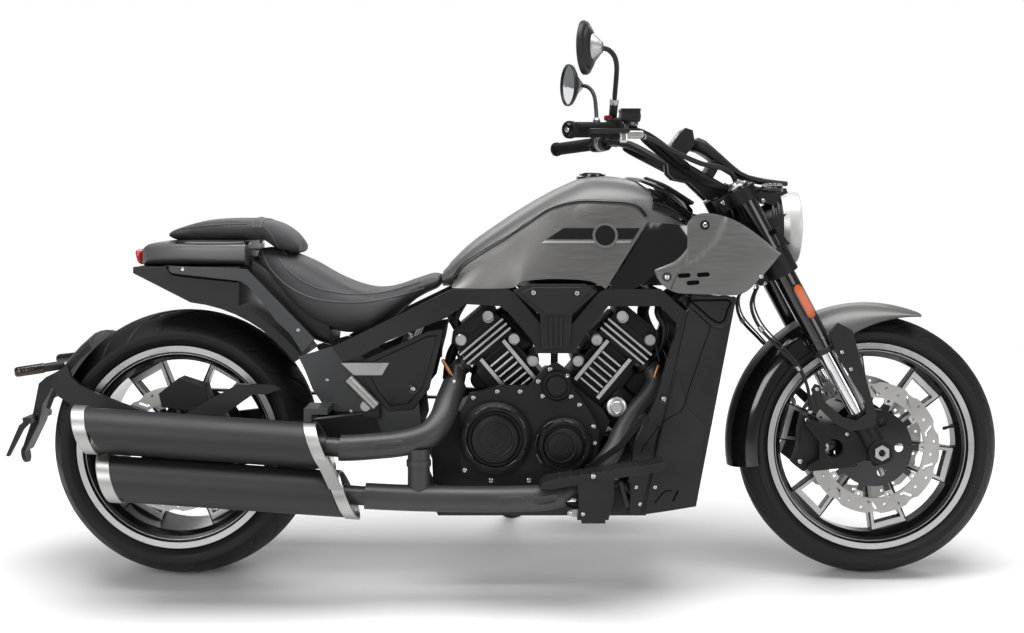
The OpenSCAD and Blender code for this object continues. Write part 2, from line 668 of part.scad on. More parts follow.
module plate_holder() parked() color("#202122") {
    translate([rear_axle_x, 0, rear_axle_z]) hood_skin();
    // Arm along the right side, with its foot on the swingarm
    slab(-hood_half + 4, -hood_half - 10) polygon([
        [-835, 346], [-800, 372], [-885, 424], [-933, 441], [-992, 465], [-1028, 482], [-1047, 500],
        [-1056, 530], [-1084, 512], [-1094, 484], [-1076, 455], [-1039, 430], [-930, 396],
        [-850, 340]]);
    slab(-155, -160 + seat) polygon([[-835, 346], [-845, 338], [-850, 350], [-840, 356]]);
    // Bracket of the number plate, with two side strips and a round reflector
    slab(-30, 30) polygon([[-1098, 512], [-1150, 486], [-1168, 470], [-1178, 420], [-1186, 378],
                           [-1210, 306], [-1202, 302], [-1168, 372], [-1158, 420], [-1140, 450],
                           [-1104, 474]]);
    slab(-75, 75) polygon([[-1172, 378], [-1190, 378], [-1192, 392], [-1172, 392]]);
    both() slab(-62, -75) polygon([[-1178, 392], [-1200, 374], [-1232, 300], [-1225, 298], [-1192, 362],
                                   [-1176, 379]]);
    translate([-1214, 0, 290]) rotate([0, 78, 0]) cylinder(h = 9, r = 20);
    // Indicators
    both() rod([-1076, -112, 526], [-1180, -150, 512], 10.5);
}

module rear_caliper() parked() color("#2a2a2c") difference() {
    slab(-104, -160 + seat) polygon([[-838, 462], [-790, 500], [-728, 480], [-716, 440], [-760, 420],
                                     [-830, 430]]);
    boss(rear_axle_x, rear_axle_z, -rear_disc_y - disc_t / 2 - 1.5, -rear_disc_y + disc_t / 2 + 1.5,
         rear_disc_r + 2);
}

// Belt: its faces, thickness and the pulleys
belt_in = 152;
belt_out = 174;
belt_t = 6;
rear_pulley_r = 100;
front_pulley_r = 42;
front_pulley = [-175, 364];
module drive_belt() parked() color("#151515") slab(belt_in, belt_out) difference() {
    belt_loop(belt_t + seat);
    belt_loop(seat);
}

// Outline of the two pulleys with a band round them, grown by r
module belt_loop(r) {
    a = [rear_axle_x, rear_axle_z];
    b = front_pulley;
    d = norm(b - a);
    // Where the straight runs leave the pulleys
    tilt = atan2(b[1] - a[1], b[0] - a[0]);
    open = acos((rear_pulley_r - front_pulley_r) / d);
    polygon(concat(
        arc(a[0], a[1], rear_pulley_r + r, tilt + open, tilt + 360 - open, 24),
        arc(b[0], b[1], front_pulley_r + r, tilt - open, tilt + open, 12)));
}

module passenger_pegs() parked() color("#aeb0b2") both() {
    rod([-387, -172, 499], [-322, -172, 434], 13);
    boss(-345, 436, -plate_out - seat, -180, 12);
}

// Steering

module yokes() parked() color("#2b2c2e") difference() {
    union() {
        on_steering(486) cylinder(h = 221, r = stem_r);
        for (s = [[480, 545], [678, fork_top]])
            on_fork(s[0]) linear_extrude(s[1] - s[0]) difference() {
                union() {
                    for (y = [-fork_y, fork_y]) translate([0, y]) circle(r = upper_tube_r + 11);
                    translate([-fork_offset, 0]) circle(r = 36);
                    translate([-fork_offset - 22, -fork_y]) square([fork_offset + 20, 2 * fork_y]);
                }
                for (y = [-fork_y, fork_y]) translate([0, y]) circle(r = upper_tube_r + seat);
            }
    }
    on_steering(400) cylinder(h = 180, r = 8);
}

module fork_tubes() parked() color("#1b1b1c") both()
    on_fork(274, 0, -fork_y) difference() {
        cylinder(h = fork_top + 6 - 274, r = upper_tube_r);
        translate([0, 0, -1]) cylinder(h = 60, r = lower_tube_r + seat);
    }

module fork_sliders() parked() color("#d8dadc") both()
    on_fork(105, 0, -fork_y) cylinder(h = 225, r = lower_tube_r);

module axle_clamps() parked() color("#28292b") both() difference() {
    union() {
        on_fork(-28, 0, -fork_y) cylinder(h = 133 - seat, r = 27);
        boss(front_axle_x, front_axle_z, -fork_y + 27, -fork_y - 31, 29);
        // Lug that carries the brake caliper
        slab(-fork_y + 8, -fork_y - 8) translate([front_axle_x, front_axle_z]) difference() {
            polygon([[-20, 26], [-72, 54], [-128, 62], [-160, 76], [-176, 64], [-142, 22], [-142, -20],
                     [-170, -36], [-166, -50], [-70, -40], [-16, -14]]);
            translate([-106, 6]) circle(r = 22);
        }
    }
    boss(front_axle_x, front_axle_z, -200, 0, spindle_r + run);
}

module front_spindle() parked() color("#c0c2c4") difference() {
    union() {
        boss(front_axle_x, front_axle_z, -fork_y - 34, fork_y + 34, spindle_r);
        // Spacers beside the hub
        both() boss(front_axle_x, front_axle_z, -front_hub_half - seat, -fork_y + 27 + seat, 18);
    }
    boss(front_axle_x, front_axle_z, -200, 200, 8);
}

fender_r = front_tyre_r + 20;
fender_half = 77;
module front_fender() parked() color("#6c6d6f") {
    translate([front_axle_x, 0, front_axle_z]) fender_skin();
    // Stays to the fork tubes
    both() translate(fork_pt(304)) rotate([90, 0, 0]) translate([0, 0, 75])
        cylinder(h = fork_y - upper_tube_r - seat - 75, r = 9);
}

// Rings of the fender: an arch across the wheel, and the same again inside it
module fender_skin() {
    loft([for (i = [0:18]) let (a = 70 + i * 119 / 18)
        concat(fender_row(a, fender_half, 66), fender_row(a, fender_half - 3, 63, 1))]);
}
function fender_row(a, w, h, back = 0) = [
    for (j = [0:10]) let (b = (back == 0 ? 1 : -1) * (-90 + 18 * j), r = fender_r - 56 + h * max(cos(b), 0))
        [r * cos(a), w * sin(b), r * sin(a)]];

module fender_brackets() parked() color("#1f2021") both()
    slab(-fork_y - 27 - seat, -fork_y - 37) translate([front_axle_x, front_axle_z]) polygon([
        [-70, 292], [-12, 90], [-18, 62], [-72, 51], [-107, 66], [-154, 112], [-167, 150], [-158, 164],
        [-146, 160], [-138, 124], [-91, 84], [-60, 76], [-37, 91], [-39, 122], [-110, 240], [-124, 286],
        [-104, 310]]);

ear_y = fork_y - upper_tube_r - seat;
// Top of the steering stem, from which the lamp, the instrument and the bar are placed
head = fork_pt(fork_top, -fork_offset);
headlamp_x = head[0] + 180;
headlamp_z = head[2] - 72;
module headlamp() parked() color("#18191a") {
    translate([headlamp_x, 0, headlamp_z]) {
        // Bucket with cooling fins, and the bezel
        rotate([0, 90, 0]) {
            translate([0, 0, -70]) cylinder(h = 70, r1 = 50, r2 = 86);
            for (i = [0:3])
                translate([0, 0, -52 + i * 12]) cylinder(h = 5, r = 68 + i * 7);
            translate([0, 0, -2]) cylinder(h = 14, r = 92);
        }
        // Ears on the fork tubes, and the block under the visor
        both() slab(-ear_y, -ear_y + 7) polygon([[-94, -22], [-30, -46], [0, -38], [0, 42], [-50, 22],
                                                 [-104, 18]]);
        both() boss(-54, -8, -ear_y + 1, -ear_y - 67, 7);
        slab(-44, 44) polygon([[-86, 96], [-16, 94], [-8, 60], [-40, 50], [-84, 62]]);
    }
}

module headlamp_lens() parked() color("#e8eef2")
    translate([headlamp_x + 12 + seat, 0, headlamp_z]) rotate([0, 90, 0]) rotate_extrude()
        polygon([[0, 0], [90, 0], [90, 14], [86, 22], [60, 30], [30, 34], [0, 35]]);

module instrument() parked() color("#141415") {
    translate([head[0], 0, head[2]]) {
        // Visor above the lamp
        body_loft([[-72, 30, 116, 132], [-44, 46, 108, 148], [8, 52, 72, 104], [56, 50, 46, 63],
                   [108, 40, 32, 48], [172, 22, 28, 40]], 12, 20, 4);
        // Display, tilted towards the rider
        slab(-58, 58) polygon([[-121, 124], [-86, 170], [-68, 164], [-62, 130], [-84, 104], [-100, 102]]);
    }
    // Bracket on the two risers
    on_risers() translate([riser_r + seat, -46, 34]) cube([42, 92, 22]);
}

// The straight end of the bar, from its tip to its bend, and the rest of its right half
bar_tip = head + [-386, -grip_end_y, 141];
bar_bend = bar_tip + [145, 184, 12];
bar_path = concat([bar_bend], [for (p = [[-195, -208, 140], [-145, -168, 110], [-105, -118, 82],
                                         [-85, -60, 73]]) head + p]);
// A point on the straight end, d inwards from its tip
function bar_pt(d) = bar_tip + (bar_bend - bar_tip) * d / norm(bar_bend - bar_tip);
grip_l = 165;
// Risers of the handlebar
riser_r = 13;
riser_y = 38;
riser_foot = fork_pt(fork_top + 14, -24, -riser_y);
// The right riser's line, brought to the middle: Z along it, X up from it
module on_risers() {
    d = bar_path[4] - riser_foot;
    translate([riser_foot[0], 0, riser_foot[2]]) rotate([0, atan2(d[0], d[2]), 0]) children();
}
module handlebar() parked() color("#1c1c1d") {
    last = len(bar_path) - 1;
    pipe(concat(bar_path, [for (i = [last:-1:0]) [bar_path[i][0], -bar_path[i][1], bar_path[i][2]]]),
         bar_r, 36, 12, [0, 0, 1]);
    both() {
        rod(bar_pt(0), bar_pt(norm(bar_bend - bar_tip) + 2), bar_r);
        // Riser up from the top yoke, with its deep cheek
        rod(riser_foot, bar_path[4] + [0, 60 - riser_y, 0], riser_r);
        on_fork(fork_top + seat, -24, -riser_y) cylinder(h = 20, r = 17);
        slab(-riser_y - 11, -riser_y + 11) translate([head[0], head[2]]) polygon([
            [-128, 82], [-126, 58], [-112, 44], [-74, 36], [-28, -8], [20, 17], [13, 30], [-79, 83],
            [-98, 90]]);
    }
}

module grips() parked() color("#101011") both() difference() {
    rod(bar_pt(-4), bar_pt(grip_l), 17);
    rod(bar_pt(-seat), bar_pt(grip_l + 5), bar_r + seat);
}

module bar_controls() parked() color("#1a1a1b") both() difference() {
    union() {
        rod(bar_pt(grip_l + 1), bar_pt(grip_l + 44), 22);
        // Brake or clutch reservoir, and the lever in front of the grip
        translate(bar_pt(grip_l + 24) + [26, 8, 18]) {
            cylinder(h = 22, r = 22);
            translate([0, 0, 21]) cylinder(h = 6, r = 24);
        }
        rod(bar_pt(grip_l + 24), bar_pt(grip_l + 24) + [34, 12, 22], 12);
        rod(bar_pt(grip_l + 24) + [4, 4, 4], bar_pt(grip_l + 10) + [52, 12, -2], 9);
        rod(bar_pt(grip_l + 10) + [52, 12, -2], bar_pt(6) + [40, 8, -2], 6);
    }
    rod(bar_pt(grip_l - 10), bar_pt(grip_l + 60), bar_r + seat);
}

module mirrors() parked() color("#17181a") both() {
    base = bar_pt(grip_l + 14) + [-6, 0, 22 + seat];
    translate(base) cylinder(h = 12, r = 7);
    pipe([base + [0, 0, 8], base + [2, -40, 60], base + [0, -104, 116], base + [-16, -122, 140],
          base + [-50, -128, 148]], 6, 12, 8);
    // Dished head, open towards the rider
    translate(base + [-66, -129, 148]) rotate([0, 90, 18]) rotate_extrude($fn = 64) polygon([
        [0, 18], [18, 17], [mirror_r * 0.75, 8], [mirror_r, -4], [mirror_r, -9], [mirror_r - 3, -9],
        [mirror_r - 4, -4], [0, -4]]);
}

module front_calipers() parked() color("#1e1e20") both() difference() {
    slab(-50, -fork_y + 8 + seat) translate([front_axle_x, front_axle_z]) polygon([
        [-176, 82], [-146, 80], [-122, 46], [-126, -14], [-144, -34], [-176, -54], [-200, -36],
        [-186, 0], [-184, 44]]);
    boss(front_axle_x, front_axle_z, -front_disc_y - disc_t / 2 - 1.5, -front_disc_y + disc_t / 2 + 1.5,
         front_disc_r + 2);
}

module brake_hoses() parked() color("#121213") both()
    pipe([for (p = [[-282, -66, 392], [-302, -98, 348], [-288, -130, 298], [-240, -142, 246],
                    [-196, -138, 200], [-170, -120, 150], [-158, -92, 82 + seat]])
             [front_axle_x + p[0], p[1], front_axle_z + p[2]]], 4, 18, 8);

// Wheels

// Thickness of a rim's lip and width of a tyre's bead beside it
lip_t = 6;
bead_w = 14;
// How far the bead sits inside the lip, on the radius
bead_in = 10;

// One side of a section and its mirror image, as one closed outline
function two_sided(P) = concat(P, [for (i = [len(P) - 1:-1:0]) [P[i][0], -P[i][1]]]);

// Tyre section: a round crown, bulged sides and the bead on the rim
module tyre(x, z, r, w, crown, lip, rim_w) {
    half = w / 2;
    seat_y = rim_w / 2 - lip_t - seat;
    shoulder = asin(half * 0.92 / crown);
    turned(x, z) polygon(two_sided(concat(
        arc(r - crown, 0, crown, 2, shoulder, 8),
        [[lip + (r - lip) * 0.42, half], [lip + (r - lip) * 0.2, half * 0.99],
         [lip + 3, seat_y + lip_t], [lip + 1, seat_y], [lip - bead_in, seat_y],
         [lip - bead_in, seat_y - bead_w], [lip + 6, seat_y - bead_w], [r - 16, half * 0.45]])));
}
module front_tyre() parked() color("#161616")
    tyre(front_axle_x, front_axle_z, front_tyre_r, front_tyre_w, front_crown_r, front_lip_r,
         front_rim_w);
module rear_tyre() parked() color("#161616")
    tyre(rear_axle_x, rear_axle_z, rear_tyre_r, rear_tyre_w, rear_crown_r, rear_lip_r, rear_rim_w);

// Middle plane of the discs, and the hub faces that they are bolted to
front_disc_y = 74;
rear_disc_y = 128;
front_hub_half = front_disc_y - disc_t / 2 - seat;
rear_hub_half = rear_disc_y - disc_t / 2 - seat;

// Rim: barrel, forked spokes and hub
module rim(x, z, lip, w, turn, hub_half, spoke_half) {
    half = w / 2;
    well = half - lip_t - bead_w - 12;
    base = lip - bead_in - seat;
    inner = lip - 36;
    difference() {
        union() {
            turned(x, z) polygon(concat(
                [[lip, half], [lip, half - lip_t], [base, half - lip_t],
                 [base, half - lip_t - bead_w - 4], [lip - 30, well],
                 [lip - 30, -well], [base, -half + lip_t + bead_w + 4],
                 [base, -half + lip_t], [lip, -half + lip_t], [lip, -half]],
                [[lip - 14, -half], [lip - 18, -half + 8], [lip - 27, -half + 12], [inner, -well],
                 [inner, well], [lip - 27, half - 12], [lip - 18, half - 8], [lip - 14, half]]));
            // Forked spokes: two arms from the hub, closed by a bar along the rim
            translate([x, 0, z]) slab(-spoke_half, spoke_half) for (i = [0:spokes - 1])
                rotate(turn + i * 360 / spokes) difference() {
                    polygon([[30, -24], [inner - 4, -47], [inner + 3, -40], [inner + 3, 40],
                             [inner - 4, 47], [30, 24]]);
                    polygon([[44, -9], [inner - 16, -34], [inner - 16, 34], [44, 9]]);
                }
            turned(x, z) polygon([[0, -hub_half], [48, -hub_half], [48, -hub_half + 12],
                                  [40, -spoke_half - 4], [58, -spoke_half], [58, spoke_half],
                                  [40, spoke_half + 4], [48, hub_half - 12], [48, hub_half],
                                  [0, hub_half]]);
        }
        boss(x, z, -300, 300, spindle_r + run);
    }
}
module front_rim() parked() color("#9c9ea0")
    rim(front_axle_x, front_axle_z, front_lip_r, front_rim_w, 45, front_hub_half, 14);
module rear_rim() parked() color("#9c9ea0")
    rim(rear_axle_x, rear_axle_z, rear_lip_r, rear_rim_w, 60, rear_hub_half, 16);

// Wave-edged disc on its carrier: holes and slots through the disc, windows through the carrier
disc_lobes = 10;
module disc(x, z, r, y, bolt_r) {
    step = 360 / disc_lobes;
    slab(y - disc_t / 2, y + disc_t / 2) translate([x, z]) difference() {
        union() {
            difference() {
                circle(r = r, $fn = 96);
                circle(r = r - 38, $fn = 96);
            }
            difference() {
                circle(r = r - 66, $fn = 96);
                for (i = [0:4]) rotate(i * 72) translate([r - 98, 0]) circle(r = 11);
            }
            // Arms and bobbins that join the two
            for (i = [0:disc_lobes - 1]) rotate(i * step) {
                translate([r - 70, -7]) square([32, 14]);
                translate([r - 42, 0]) circle(r = 11);
            }
        }
        for (i = [0:disc_lobes - 1]) rotate(i * step) {
            rotate(step / 2) translate([r + 30, 0]) circle(r = 35);
            translate([r - 42, 0]) circle(r = 4);
            rotate(6) translate([r - 12, 0]) circle(r = 3.5);
            rotate(-7) translate([r - 20, 0]) circle(r = 3.5);
            rotate(13) translate([r - 28, 0]) circle(r = 3.5);
            rotate(step / 2) translate([r - 20, 0]) rotate(35) square([24, 6], center = true);
        }
        circle(r = bolt_r);
    }
}
module front_discs() parked() color("#c9cbcd") both()
    disc(front_axle_x, front_axle_z, front_disc_r, -front_disc_y, 22);
module rear_disc() parked() color("#c9cbcd")
    disc(rear_axle_x, rear_axle_z, rear_disc_r, -rear_disc_y, 22);
module rear_pulley() parked() color("#2b2b2c") difference() {
    union() {
        boss(rear_axle_x, rear_axle_z, belt_in, belt_out, rear_pulley_r);
        boss(rear_axle_x, rear_axle_z, rear_hub_half + seat, belt_in + 1, 45);
        // Flange that keeps the belt in place
        boss(rear_axle_x, rear_axle_z, belt_in - 3, belt_in - 0.5, rear_pulley_r + belt_t);
    }
    boss(rear_axle_x, rear_axle_z, 100, 200, 22);
    for (i = [0:5]) translate([rear_axle_x, 0, rear_axle_z]) rotate([0, i * 60, 0])
        boss(68, 0, 100, 200, 17);
}

// Side stand

stand_pivot = [-60, spar_in + 18, 168];
stand_eye_r = 17;
stand_eye_h = 20;
stand_pin_r = 8;
foot_r = 26;
foot_t = 8;
// The foot lies on the ground, which rises to the left of the leaning machine
stand_foot_y = stand_pivot[1] + stand_reach;
stand_foot = [0, stand_foot_y, stand_foot_y * tan(lean) + foot_t / cos(lean)];
// Where the leg points when it is folded back
stand_folded = [-0.995, 0.08, 0.05];
stand_axis = cross(stand_foot - stand_pivot, stand_folded) / norm(cross(stand_foot - stand_pivot, stand_folded));

// The stand's pivot, with the hinge axis up
module at_stand() {
    translate(stand_pivot)
        rotate([0, acos(stand_axis[2]), atan2(stand_axis[1], stand_axis[0])]) children();
}

module side_stand() parked() color("#27282a") {
    difference() {
        union() {
            at_stand() translate([0, 0, -stand_eye_h / 2]) cylinder(h = stand_eye_h, r = stand_eye_r);
            rod(stand_pivot + (stand_foot - stand_pivot) * 0.05, stand_foot, 9.5);
        }
        at_stand() translate([0, 0, -50]) cylinder(h = 100, r = stand_pin_r + run);
    }
    translate(stand_foot) rotate([lean, 0, 0]) translate([0, 0, -foot_t]) cylinder(h = foot_t, r = foot_r);
}

main_frame();
rear_frame();
lower_frame();
swingarm();
rear_spindle();
rear_shock();
crankcase();
engine_covers();
rear_cylinder();
front_cylinder();
airbox();
fuel_tank();
tank_panels();
shoulder_panels();
front_shrouds();
radiator_shrouds();
radiator();
rider_seat();
passenger_seat();
tail_body();
rear_fender();
tail_lamp();
side_covers();
header_pipes();
header_shields();
silencers();
silencer_trim();
floorboards();
foot_controls();
plate_holder();
rear_caliper();
drive_belt();
passenger_pegs();
yokes();
fork_tubes();
fork_sliders();
axle_clamps();
front_fender();
fender_brackets();
headlamp();
headlamp_lens();
instrument();
handlebar();
grips();
bar_controls();
mirrors();
front_calipers();
brake_hoses();
front_spindle();
front_rim();
front_tyre();
front_discs();
rear_rim();
rear_tyre();
rear_disc();
rear_pulley();
side_stand();
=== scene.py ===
"""Finish and fine detail of a cruiser motorcycle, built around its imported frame.

Shapes are worked out upright, in millimetres: +X forward, +Y to the rider's left, +Z up, with the
ground at Z = 0. parked() then leans them with the machine and turns them into metres."""

import json
import math

import bpy
import numpy as np
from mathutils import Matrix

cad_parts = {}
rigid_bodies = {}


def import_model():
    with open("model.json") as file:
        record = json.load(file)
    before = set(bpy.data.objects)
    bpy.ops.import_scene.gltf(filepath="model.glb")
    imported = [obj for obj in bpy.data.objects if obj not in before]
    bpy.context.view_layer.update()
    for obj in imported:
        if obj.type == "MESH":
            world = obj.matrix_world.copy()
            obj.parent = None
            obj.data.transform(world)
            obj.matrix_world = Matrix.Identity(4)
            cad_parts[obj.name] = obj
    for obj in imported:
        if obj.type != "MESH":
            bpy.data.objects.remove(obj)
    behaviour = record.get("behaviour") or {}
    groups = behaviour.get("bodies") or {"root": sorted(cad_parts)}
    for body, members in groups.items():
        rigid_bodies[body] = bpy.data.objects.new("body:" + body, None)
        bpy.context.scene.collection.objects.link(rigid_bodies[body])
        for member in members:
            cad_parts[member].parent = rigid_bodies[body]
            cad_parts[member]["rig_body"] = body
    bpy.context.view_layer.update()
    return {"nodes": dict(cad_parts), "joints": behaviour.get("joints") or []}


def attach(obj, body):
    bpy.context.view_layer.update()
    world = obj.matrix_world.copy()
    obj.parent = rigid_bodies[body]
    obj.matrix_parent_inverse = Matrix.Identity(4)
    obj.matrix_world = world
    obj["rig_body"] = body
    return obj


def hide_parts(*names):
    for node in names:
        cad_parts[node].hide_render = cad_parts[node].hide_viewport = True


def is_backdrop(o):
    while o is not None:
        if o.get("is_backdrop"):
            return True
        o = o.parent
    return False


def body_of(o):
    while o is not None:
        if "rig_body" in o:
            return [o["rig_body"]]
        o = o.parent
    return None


bl_info = {
    "name": "Cruiser Motorcycle Finish",
    "version": (1, 0, 0),
    "blender": (4, 5, 0),
    "location": "View3D > Sidebar > Cruiser",
    "description": "Adds paint, tyres, wheels, seats and small parts to a cruiser motorcycle",
    "category": "Object",
}

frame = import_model()
NODES = frame["nodes"]
JOINTS = {joint["name"]: joint for joint in frame["joints"]}

# Axles in the upright frame
REAR_AXLE = np.array([-805.0, 0.0, 326.745])
FRONT_AXLE = np.array([880.0, 0.0, 319.848])
RAKE = math.radians(28)

# Directions of the leaning machine: forward, to its left, and up along it
LEFT = np.array(JOINTS["rear_wheel_spin"]["axis"])
FORWARD = np.array([1.0, 0.0, 0.0])
UP = np.cross(FORWARD, LEFT)
TURN = np.stack([FORWARD, LEFT, UP])
ORIGIN = np.array(JOINTS["rear_wheel_spin"]["pos_m"]) - REAR_AXLE @ TURN / 1000


def parked(points):
    """Upright points in millimetres, leaned as the frame is: x FORWARD + y LEFT + z UP + ORIGIN."""
    return np.asarray(points, float) @ TURN / 1000 + ORIGIN


def upright(points):
    """The way back: points of the frame, in metres, in the upright frame in millimetres."""
    return (np.asarray(points, float) - ORIGIN) @ TURN.T * 1000


def fork(s, u=0.0, y=0.0):
    """A place on the fork: s up its leg from the axle, u ahead of its line, y to the left."""
    c, t = math.cos(RAKE), math.sin(RAKE)
    return FRONT_AXLE + np.array([u * c - s * t, y, u * t + s * c])


# Shapes


def at(points, t):
    """The smooth curve through some points, at shares t of its steps: four cubic weights each."""
    p = np.asarray(points, float)
    t = np.clip(t, 0, 1) * (len(p) - 1)
    i = np.minimum(t.astype(int), len(p) - 2)
    u = (t - i)[..., None]
    a, b, c, d = p[np.maximum(i - 1, 0)], p[i], p[i + 1], p[np.minimum(i + 2, len(p) - 1)]
    return 0.5 * (2 * b + (c - a) * u + (2 * a - 5 * b + 4 * c - d) * u**2
                  + (3 * b - a - 3 * c + d) * u**3)


def curve(points, n):
    """The same curve at n + 1 even shares."""
    return at(points, np.linspace(0, 1, n + 1))


def grid(nu, nv, loop_u=False, loop_v=False):
    """Quads of a grid of nu by nv points, joined round where a direction loops."""
    i = np.arange(nu if loop_u else nu - 1)[:, None]
    j = np.arange(nv if loop_v else nv - 1)[None, :]
    k, m = (i + 1) % nu, (j + 1) % nv
    return np.stack(np.broadcast_arrays(i * nv + j, k * nv + j, k * nv + m, i * nv + m), -1).reshape(-1, 4)


def ends(nu, nv):
    """Flat ends of a loft of nu rings of nv points: quads between the two halves of a ring."""
    j = np.arange(nv // 2 - 1)
    k = nv - 1 - j
    first = np.stack([j, j + 1, k - 1, k], -1)
    return np.concatenate([first, first[:, ::-1] + (nu - 1) * nv])


def volume(points, faces):
    """Signed volume under quads, as the sum of their triangles' triple products."""
    a, b, c, d = (points[faces[:, i]] for i in range(4))
    return np.einsum("ij,ij->", a, np.cross(b, c) + np.cross(c, d)) / 6


class Piece:
    """Gathers closed surfaces into one object that rides on a body."""

    def __init__(self, name):
        self.name = name
        self.points, self.faces, self.slots, self.finishes = [], [], [], []
        self.count = 0

    def add(self, points, faces, finish):
        """One closed surface of quads, turned so that its faces point outwards."""
        points = np.asarray(points, float).reshape(-1, 3)
        if volume(points - points.mean(0), faces) < 0:
            faces = faces[:, ::-1]
        if finish not in self.finishes:
            self.finishes.append(finish)
        self.points.append(points)
        self.faces.append(faces + self.count)
        self.slots.append(np.full(len(faces), self.finishes.index(finish)))
        self.count += len(points)
        return self

    def loft(self, rings, finish):
        """A closed skin over rings of points, rings[u, v], with flat ends."""
        nu, nv = rings.shape[:2]
        return self.add(rings, np.concatenate([grid(nu, nv, False, True), ends(nu, nv)]), finish)

    def torus(self, rings, finish):
        """A skin that closes both ways, rings[u, v]."""
        return self.add(rings, grid(*rings.shape[:2], True, True), finish)

    def sheet(self, outer, inner, finish):
        """A plate between two like grids of points, closed round its rim."""
        rings = np.concatenate([outer, inner[:, ::-1]], 1)
        return self.loft(rings, finish)

    def tube(self, path, radius, finish, n=16, up=(0, 0, 1)):
        """A round bar along a path; radius may change along it."""
        return self.loft(tube_rings(path, radius, n, up), finish)

    def turned(self, profile, place, axis, finish, n=40):
        """A closed surface of revolution: profile points (radius, height along the axis)."""
        return self.loft(turned_rings(profile, place, axis, n), finish)

    def recolour(self, test, finish):
        """Gives the faces whose middle passes a test of x, y and z another finish."""
        points, faces = np.concatenate(self.points), np.concatenate(self.faces)
        middle = points[faces].mean(1)
        if finish not in self.finishes:
            self.finishes.append(finish)
        slots = np.where(test(*middle.T), self.finishes.index(finish), np.concatenate(self.slots))
        self.slots = [slots]
        return self

    def build(self, body, *nodes, sharp=38, bevel=0.0, slot=None, smooth=True):
        mesh = bpy.data.meshes.new(self.name)
        faces = np.concatenate(self.faces)
        mesh.from_pydata(parked(np.concatenate(self.points)).tolist(), [], faces.tolist())
        mesh.update()
        mesh.polygons.foreach_set("material_index", np.concatenate(self.slots).astype(np.int32))
        mesh.polygons.foreach_set("use_smooth", np.full(len(faces), smooth))
        for finish in self.finishes:
            mesh.materials.append(MATERIALS[finish])
        mesh.validate()
        mesh.set_sharp_from_angle(angle=math.radians(sharp))
        obj = bpy.data.objects.new(self.name, mesh)
        bpy.context.scene.collection.objects.link(obj)
        if bevel:
            rounding(obj, bevel)
        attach(obj, body)
        if nodes:
            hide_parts(*nodes)
        return obj


def rounding(obj, width, angle=38):
    """Rounds the sharp edges of a piece."""
    modifier = obj.modifiers.new("rounding", "BEVEL")
    modifier.width = width / 1000
    modifier.segments = 2
    modifier.limit_method = "ANGLE"
    modifier.angle_limit = math.radians(angle)
    modifier.harden_normals = True


def tube_rings(path, radius, n=16, up=(0, 0, 1)):
    """Circles of a radius across a path, each set square to its direction: p + r (cos a h + sin a k)."""
    path = np.asarray(path, float)
    way = np.gradient(path, axis=0)
    way /= np.linalg.norm(way, axis=1, keepdims=True)
    h = np.cross(np.asarray(up, float), way)
    h /= np.linalg.norm(h, axis=1, keepdims=True)
    k = np.cross(way, h)
    a = np.linspace(0, 2 * math.pi, n, endpoint=False)
    radius = np.broadcast_to(np.asarray(radius, float), len(path))[:, None, None]
    return path[:, None] + radius * (np.cos(a)[None, :, None] * h[:, None] + np.sin(a)[None, :, None] * k[:, None])


def basis(axis):
    """Two directions square to an axis, and the axis, as rows."""
    w = np.asarray(axis, float) / np.linalg.norm(axis)
    side = np.array([0.0, 0.0, 1.0]) if abs(w[2]) < 0.9 else np.array([1.0, 0.0, 0.0])
    u = np.cross(side, w)
    u /= np.linalg.norm(u)
    return np.stack([u, np.cross(w, u), w])


def turned_rings(profile, place, axis, n=40):
    """Rings of a profile (radius, height) turned about an axis through a place."""
    profile = np.asarray(profile, float)
    a = np.linspace(0, 2 * math.pi, n, endpoint=False)
    r, h = np.maximum(profile[:, 0], 0.02), profile[:, 1]
    local = np.stack([r[:, None] * np.cos(a), r[:, None] * np.sin(a), np.repeat(h[:, None], n, 1)], -1)
    return local @ basis(axis) + np.asarray(place, float)


def mirrored(points):
    """The same points on the other side of the machine."""
    return np.asarray(points, float) * [1, -1, 1]


def box_ring(x, half, low, high, n=64, power=3.0):
    """Rings across the machine at x: a rounded box, half wide each side, from low to high."""
    a = 2 * math.pi * (np.arange(n) + 0.5) / n
    c, s = np.cos(a), np.sin(a)
    across = np.sign(c) * np.abs(c) ** (2 / power)
    over = np.sign(s) * np.abs(s) ** (2 / power)
    x, half, low, high = (np.asarray(q, float)[:, None] for q in (x, half, low, high))
    return np.stack([x + 0 * across, half * across, (low + high) / 2 + (high - low) / 2 * over], -1)


def body_rings(stations, steps=60, n=64, power=3.0, floor=-1000):
    """Rings of a body through stations (x, half width, bottom, top), nowhere lower than floor."""
    q = curve(stations, steps)
    return box_ring(q[:, 0], q[:, 1], np.maximum(q[:, 2], floor), q[:, 3], n, power)


# Places found on what is already there

def first_hit(start, way):
    """The first shown surface that a ray meets: its place, normal and body, or None."""
    from mathutils import Vector
    depsgraph = bpy.context.evaluated_depsgraph_get()
    start = Vector(parked(start))
    way = Vector(np.asarray(way, float) @ TURN).normalized()
    for _ in range(12):
        hit, place, normal, _, obj, _ = bpy.context.scene.ray_cast(depsgraph, start, way)
        if not hit:
            return None
        if not obj.hide_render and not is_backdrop(obj):
            normal = normal if normal.dot(way) < 0 else -normal
            return upright(place), np.array(normal) @ TURN.T, body_of(obj)[0]
        start = place + way * 0.0002
    return None


# Camera in the upright frame: its place, and its focal length in pixels of the photograph
EYE = np.array([0.0, -3300.0, 886.0])
FOCAL_PX = 1325.0
CENTRE_PX = (512.0, 215.0)


